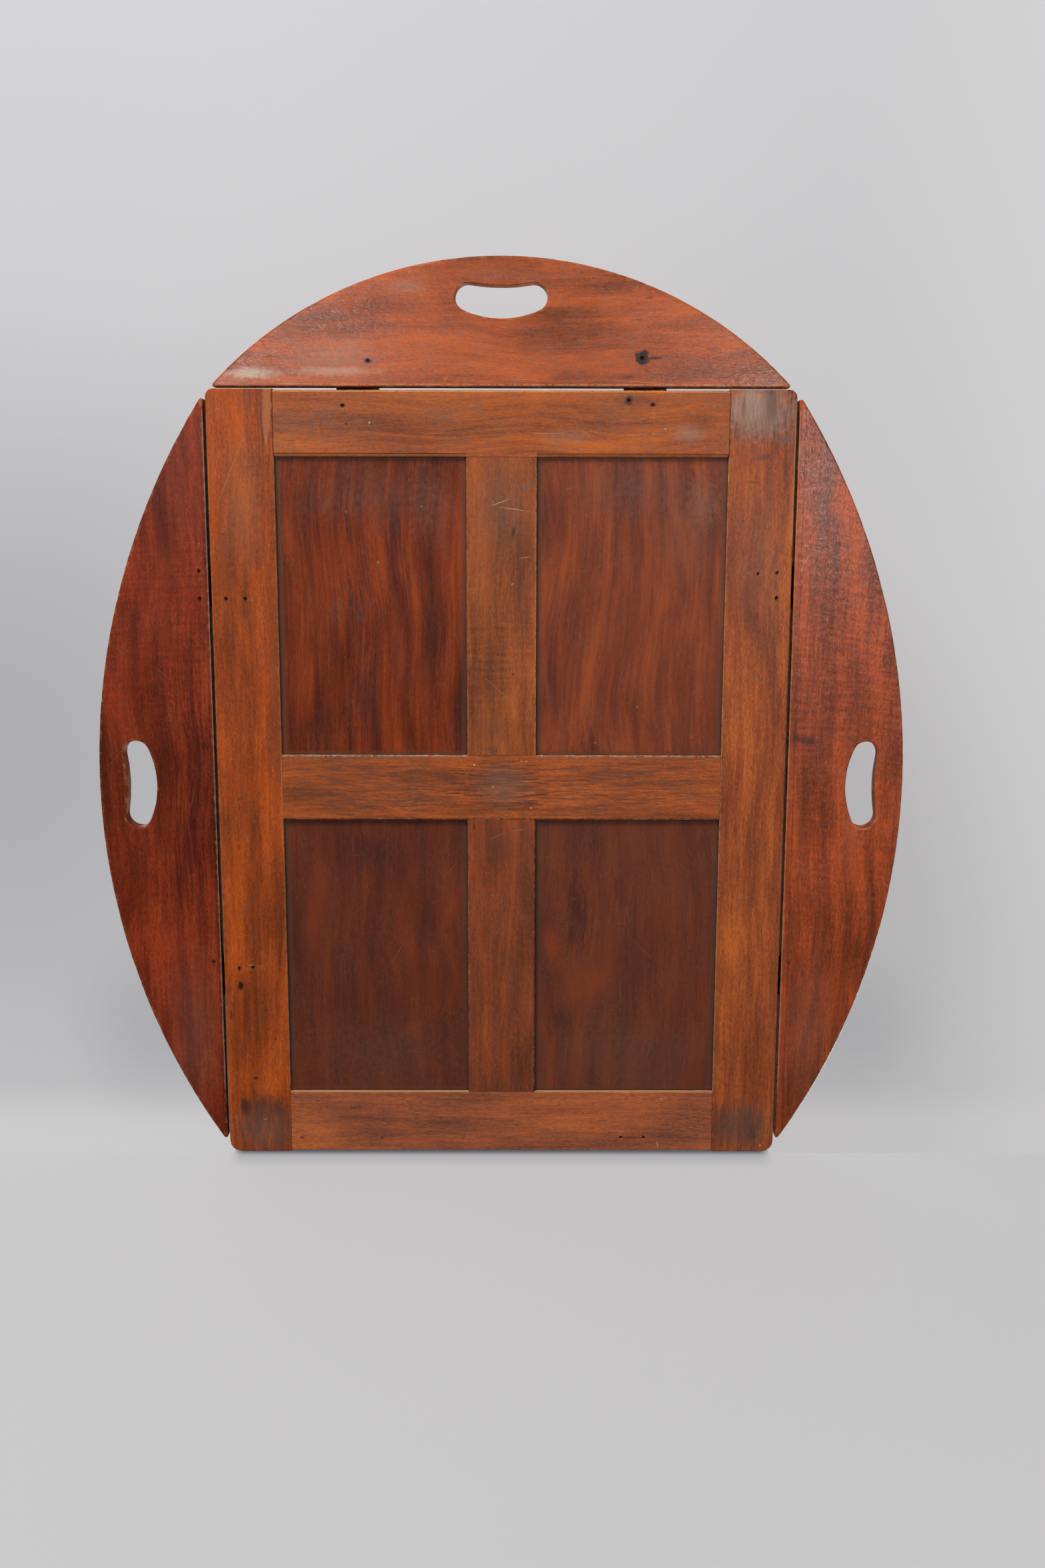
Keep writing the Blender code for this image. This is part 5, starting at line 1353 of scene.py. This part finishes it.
def paper(name, tone, shadow):
    # Seen by the camera from its front only, and no obstacle to light. shadow is one of the two below.
    material, tree, shader = newFinish(name)
    nodes = tree.nodes
    place = nodes.new("ShaderNodeTexCoord").outputs["Object"]
    darker = tuple(value * stage["mottleShade"] for value in tone[:3]) + (1,)
    colour = coloured(tree, cloud(tree, place, (stage["mottleSize"],) * 3, 1.0), darker, tone)
    x, y, z = partsOf(tree, place)
    besides = maths(tree, "ABSOLUTE", x)
    if shadow == "behind":
        # Painted light makes it brighter on one side, and its low part continues the floor
        colour = coloured(tree, fadedOut(tree, x, *stage["paintedLightSide"]), colour, stage["paintedLightTone"])
        colour = coloured(tree, fadedOut(tree, y, *stage["horizon"]), colour, stage["farFloorTone"])
        # Painted soft shadows beside the tray
        for middle, size, strength in stage["paintedShadows"]:
            reach = lengthOf(tree, placed(tree, place, middle, 0, size))
            colour = coloured(tree, fadedOut(tree, reach, 0.0, 1.0, strength), colour, stage["shadowTone"])
        # The tray's own shadow, which shows through the side gaps only
        share = product(tree, fadedOut(tree, besides, *stage["behindX"]),
                        fadedOut(tree, y, *stage["behindTop"]), rescale(tree, y, *stage["behindBottom"]))
        colour = coloured(tree, share, colour, tints["sootAndShade"])
    elif shadow == "contact":
        # The tray's contact shadow, along its bottom edge
        along = fadedOut(tree, besides, frameEdge - stage["shadowEdge"], frameEdge)
        before = product(tree, z, -1.0)
        share = total(tree, *[fadedOut(tree, before, *stage[key]) for key in ("nearShadow", "farShadow")])
        colour = coloured(tree, product(tree, share, along), colour, stage["shadowTone"])
    feed(tree, shader.inputs["Base Color"], coloured(tree, stage["glow"], colour, (0, 0, 0, 1)))
    feed(tree, shader.inputs["Emission Color"], colour)
    shader.inputs["Emission Strength"].default_value = stage["glow"]
    shader.inputs["Roughness"].default_value = stage["paperRoughness"]
    shader.inputs["Specular IOR Level"].default_value = stage["paperGloss"]
    front = maths(tree, "SUBTRACT", 1.0, nodes.new("ShaderNodeNewGeometry").outputs["Backfacing"])
    shown = product(tree, front, nodes.new("ShaderNodeLightPath").outputs["Is Camera Ray"])
    clear = nodes.new("ShaderNodeBsdfTransparent").outputs[0]
    feed(tree, nodes["Material Output"].inputs["Surface"],
         mixedShaders(tree, shown, clear, shader.outputs[0]))
    return material


def makeSheet(name, matrix, size, tone, shadow=None):
    bm = bmesh.new()
    bmesh.ops.create_grid(bm, x_segments=1, y_segments=1, size=0.5,
                          matrix=matrix @ Matrix.Diagonal((*size, 1, 1)))
    sheet = finishMesh(name, bm)
    sheet.data.materials.append(paper(name + "Paper", tone, shadow))


makeSheet("floor", Matrix.Translation((0, 0, stage["floorHeight"])), stage["floorSize"],
          stage["floorTone"])
lean = math.radians(stage["lean"])
away = Vector((0, -math.sin(lean), -math.cos(lean)))
for name, size, behind in (("photoFloor", stage["photoFloorSize"], stage["photoFloorBehind"]),
                           ("photoFloorUnderTray", stage["underTraySize"], stage["underTrayBehind"])):
    middle = Vector((0, -frameEnd, 0)) + away * (size[1] / 2 - behind)
    makeSheet(name, Matrix.Translation(middle) @ Matrix.Rotation(-quarter - lean, 4, "X"), size,
              stage["floorTone"], "contact")
makeSheet("backdrop", Matrix.Translation(stage["backdropPlace"]) @ Matrix.Rotation(math.pi, 4, "X"),
          stage["backdropSize"], stage["backdropTone"], "behind")

world = bpy.data.worlds.new("studio")
bpy.context.scene.world = world
world.use_nodes = True
tree = world.node_tree
nodes = tree.nodes


def sky(node, tone, strength):
    node.inputs["Color"].default_value = tone
    feed(tree, node.inputs["Strength"], strength)
    return node.outputs[0]


# What mirrors show: pale walls, for what lies on a table, under a darker ceiling
height = partsOf(tree, nodes.new("ShaderNodeTexCoord").outputs["Generated"])[2]
walls = product(tree, rescale(tree, height, *stage["wallsFrom"]), fadedOut(tree, height, *stage["wallsTo"]))
mirrored = total(tree, product(tree, walls, stage["wallsMirrored"]), stage["mirrored"])
white = (1, 1, 1, 1)
shown = sky(nodes["Background"], white, stage["worldLight"])
rays = nodes.new("ShaderNodeLightPath").outputs
for ray, tone, strength in (("Is Glossy Ray", white, mirrored), ("Is Camera Ray", stage["worldTone"], 1)):
    shown = mixedShaders(tree, rays[ray], shown,
                         sky(nodes.new("ShaderNodeBackground"), tone, strength))
feed(tree, nodes["World Output"].inputs["Surface"], shown)

# Name, place, aim, size, power, and how it shows: as light, as a reflection or both.
# The two glints are what the top flap's end and the right flap reflect.
lamps = (
    ("keyBelow", (0.75, 1.90, -1.35), (0, 0.1, 0), 1.1, 48, "light"),
    ("fillBelow", (-1.30, 0.45, -1.90), (0, 0, 0), 1.0, 7, "light"),
    ("glintBelow", (0.56, 0.58, -1.80), (0.2, 0.35, 0), 0.24, 5.5, "reflection"),
    ("otherGlintBelow", (-0.68, 0.46, -1.80), (-0.3, 0.3, 0), 0.24, 6, "reflection"),
    ("keyAbove", (-1.20, -1.50, 2.00), (0, 0, 0), 1.3, 40, "both"),
    ("fillAbove", (1.50, 0.60, 1.80), (0, 0, 0), 1.2, 12, "both"),
    ("ceiling", (0, 0, 2.60), (0, 0, 0), 4.0, 26, "light"),
)
for name, place, aim, size, power, shows in lamps:
    light = bpy.data.lights.new(name, "AREA")
    light.shape = "DISK"
    light.size = size
    light.energy = power
    lamp = bpy.data.objects.new(name, light)
    lamp.location = place
    lamp.rotation_euler = (Vector(aim) - Vector(place)).to_track_quat("-Z", "Y").to_euler()
    lamp.visible_camera = False
    lamp.visible_diffuse = shows != "reflection"
    lamp.visible_glossy = shows != "light"
    bpy.context.scene.collection.objects.link(lamp)

photoView = {
    "place": (-0.01438, 0.26141, -1.40892), "turn": (169.6276, 0.1957, 179.8780), "lens": 35.005,
    "nearest": 0.01,
}
cameraData = bpy.data.cameras.new("photoCamera")
cameraData.lens = photoView["lens"]
cameraData.clip_start = photoView["nearest"]
camera = bpy.data.objects.new("photoCamera", cameraData)
camera.location = photoView["place"]
camera.rotation_euler = [math.radians(angle) for angle in photoView["turn"]]
bpy.context.scene.collection.objects.link(camera)
bpy.context.scene.camera = camera
bpy.context.scene.view_settings.view_transform = "Standard"
print("Stage, lamps and camera done")
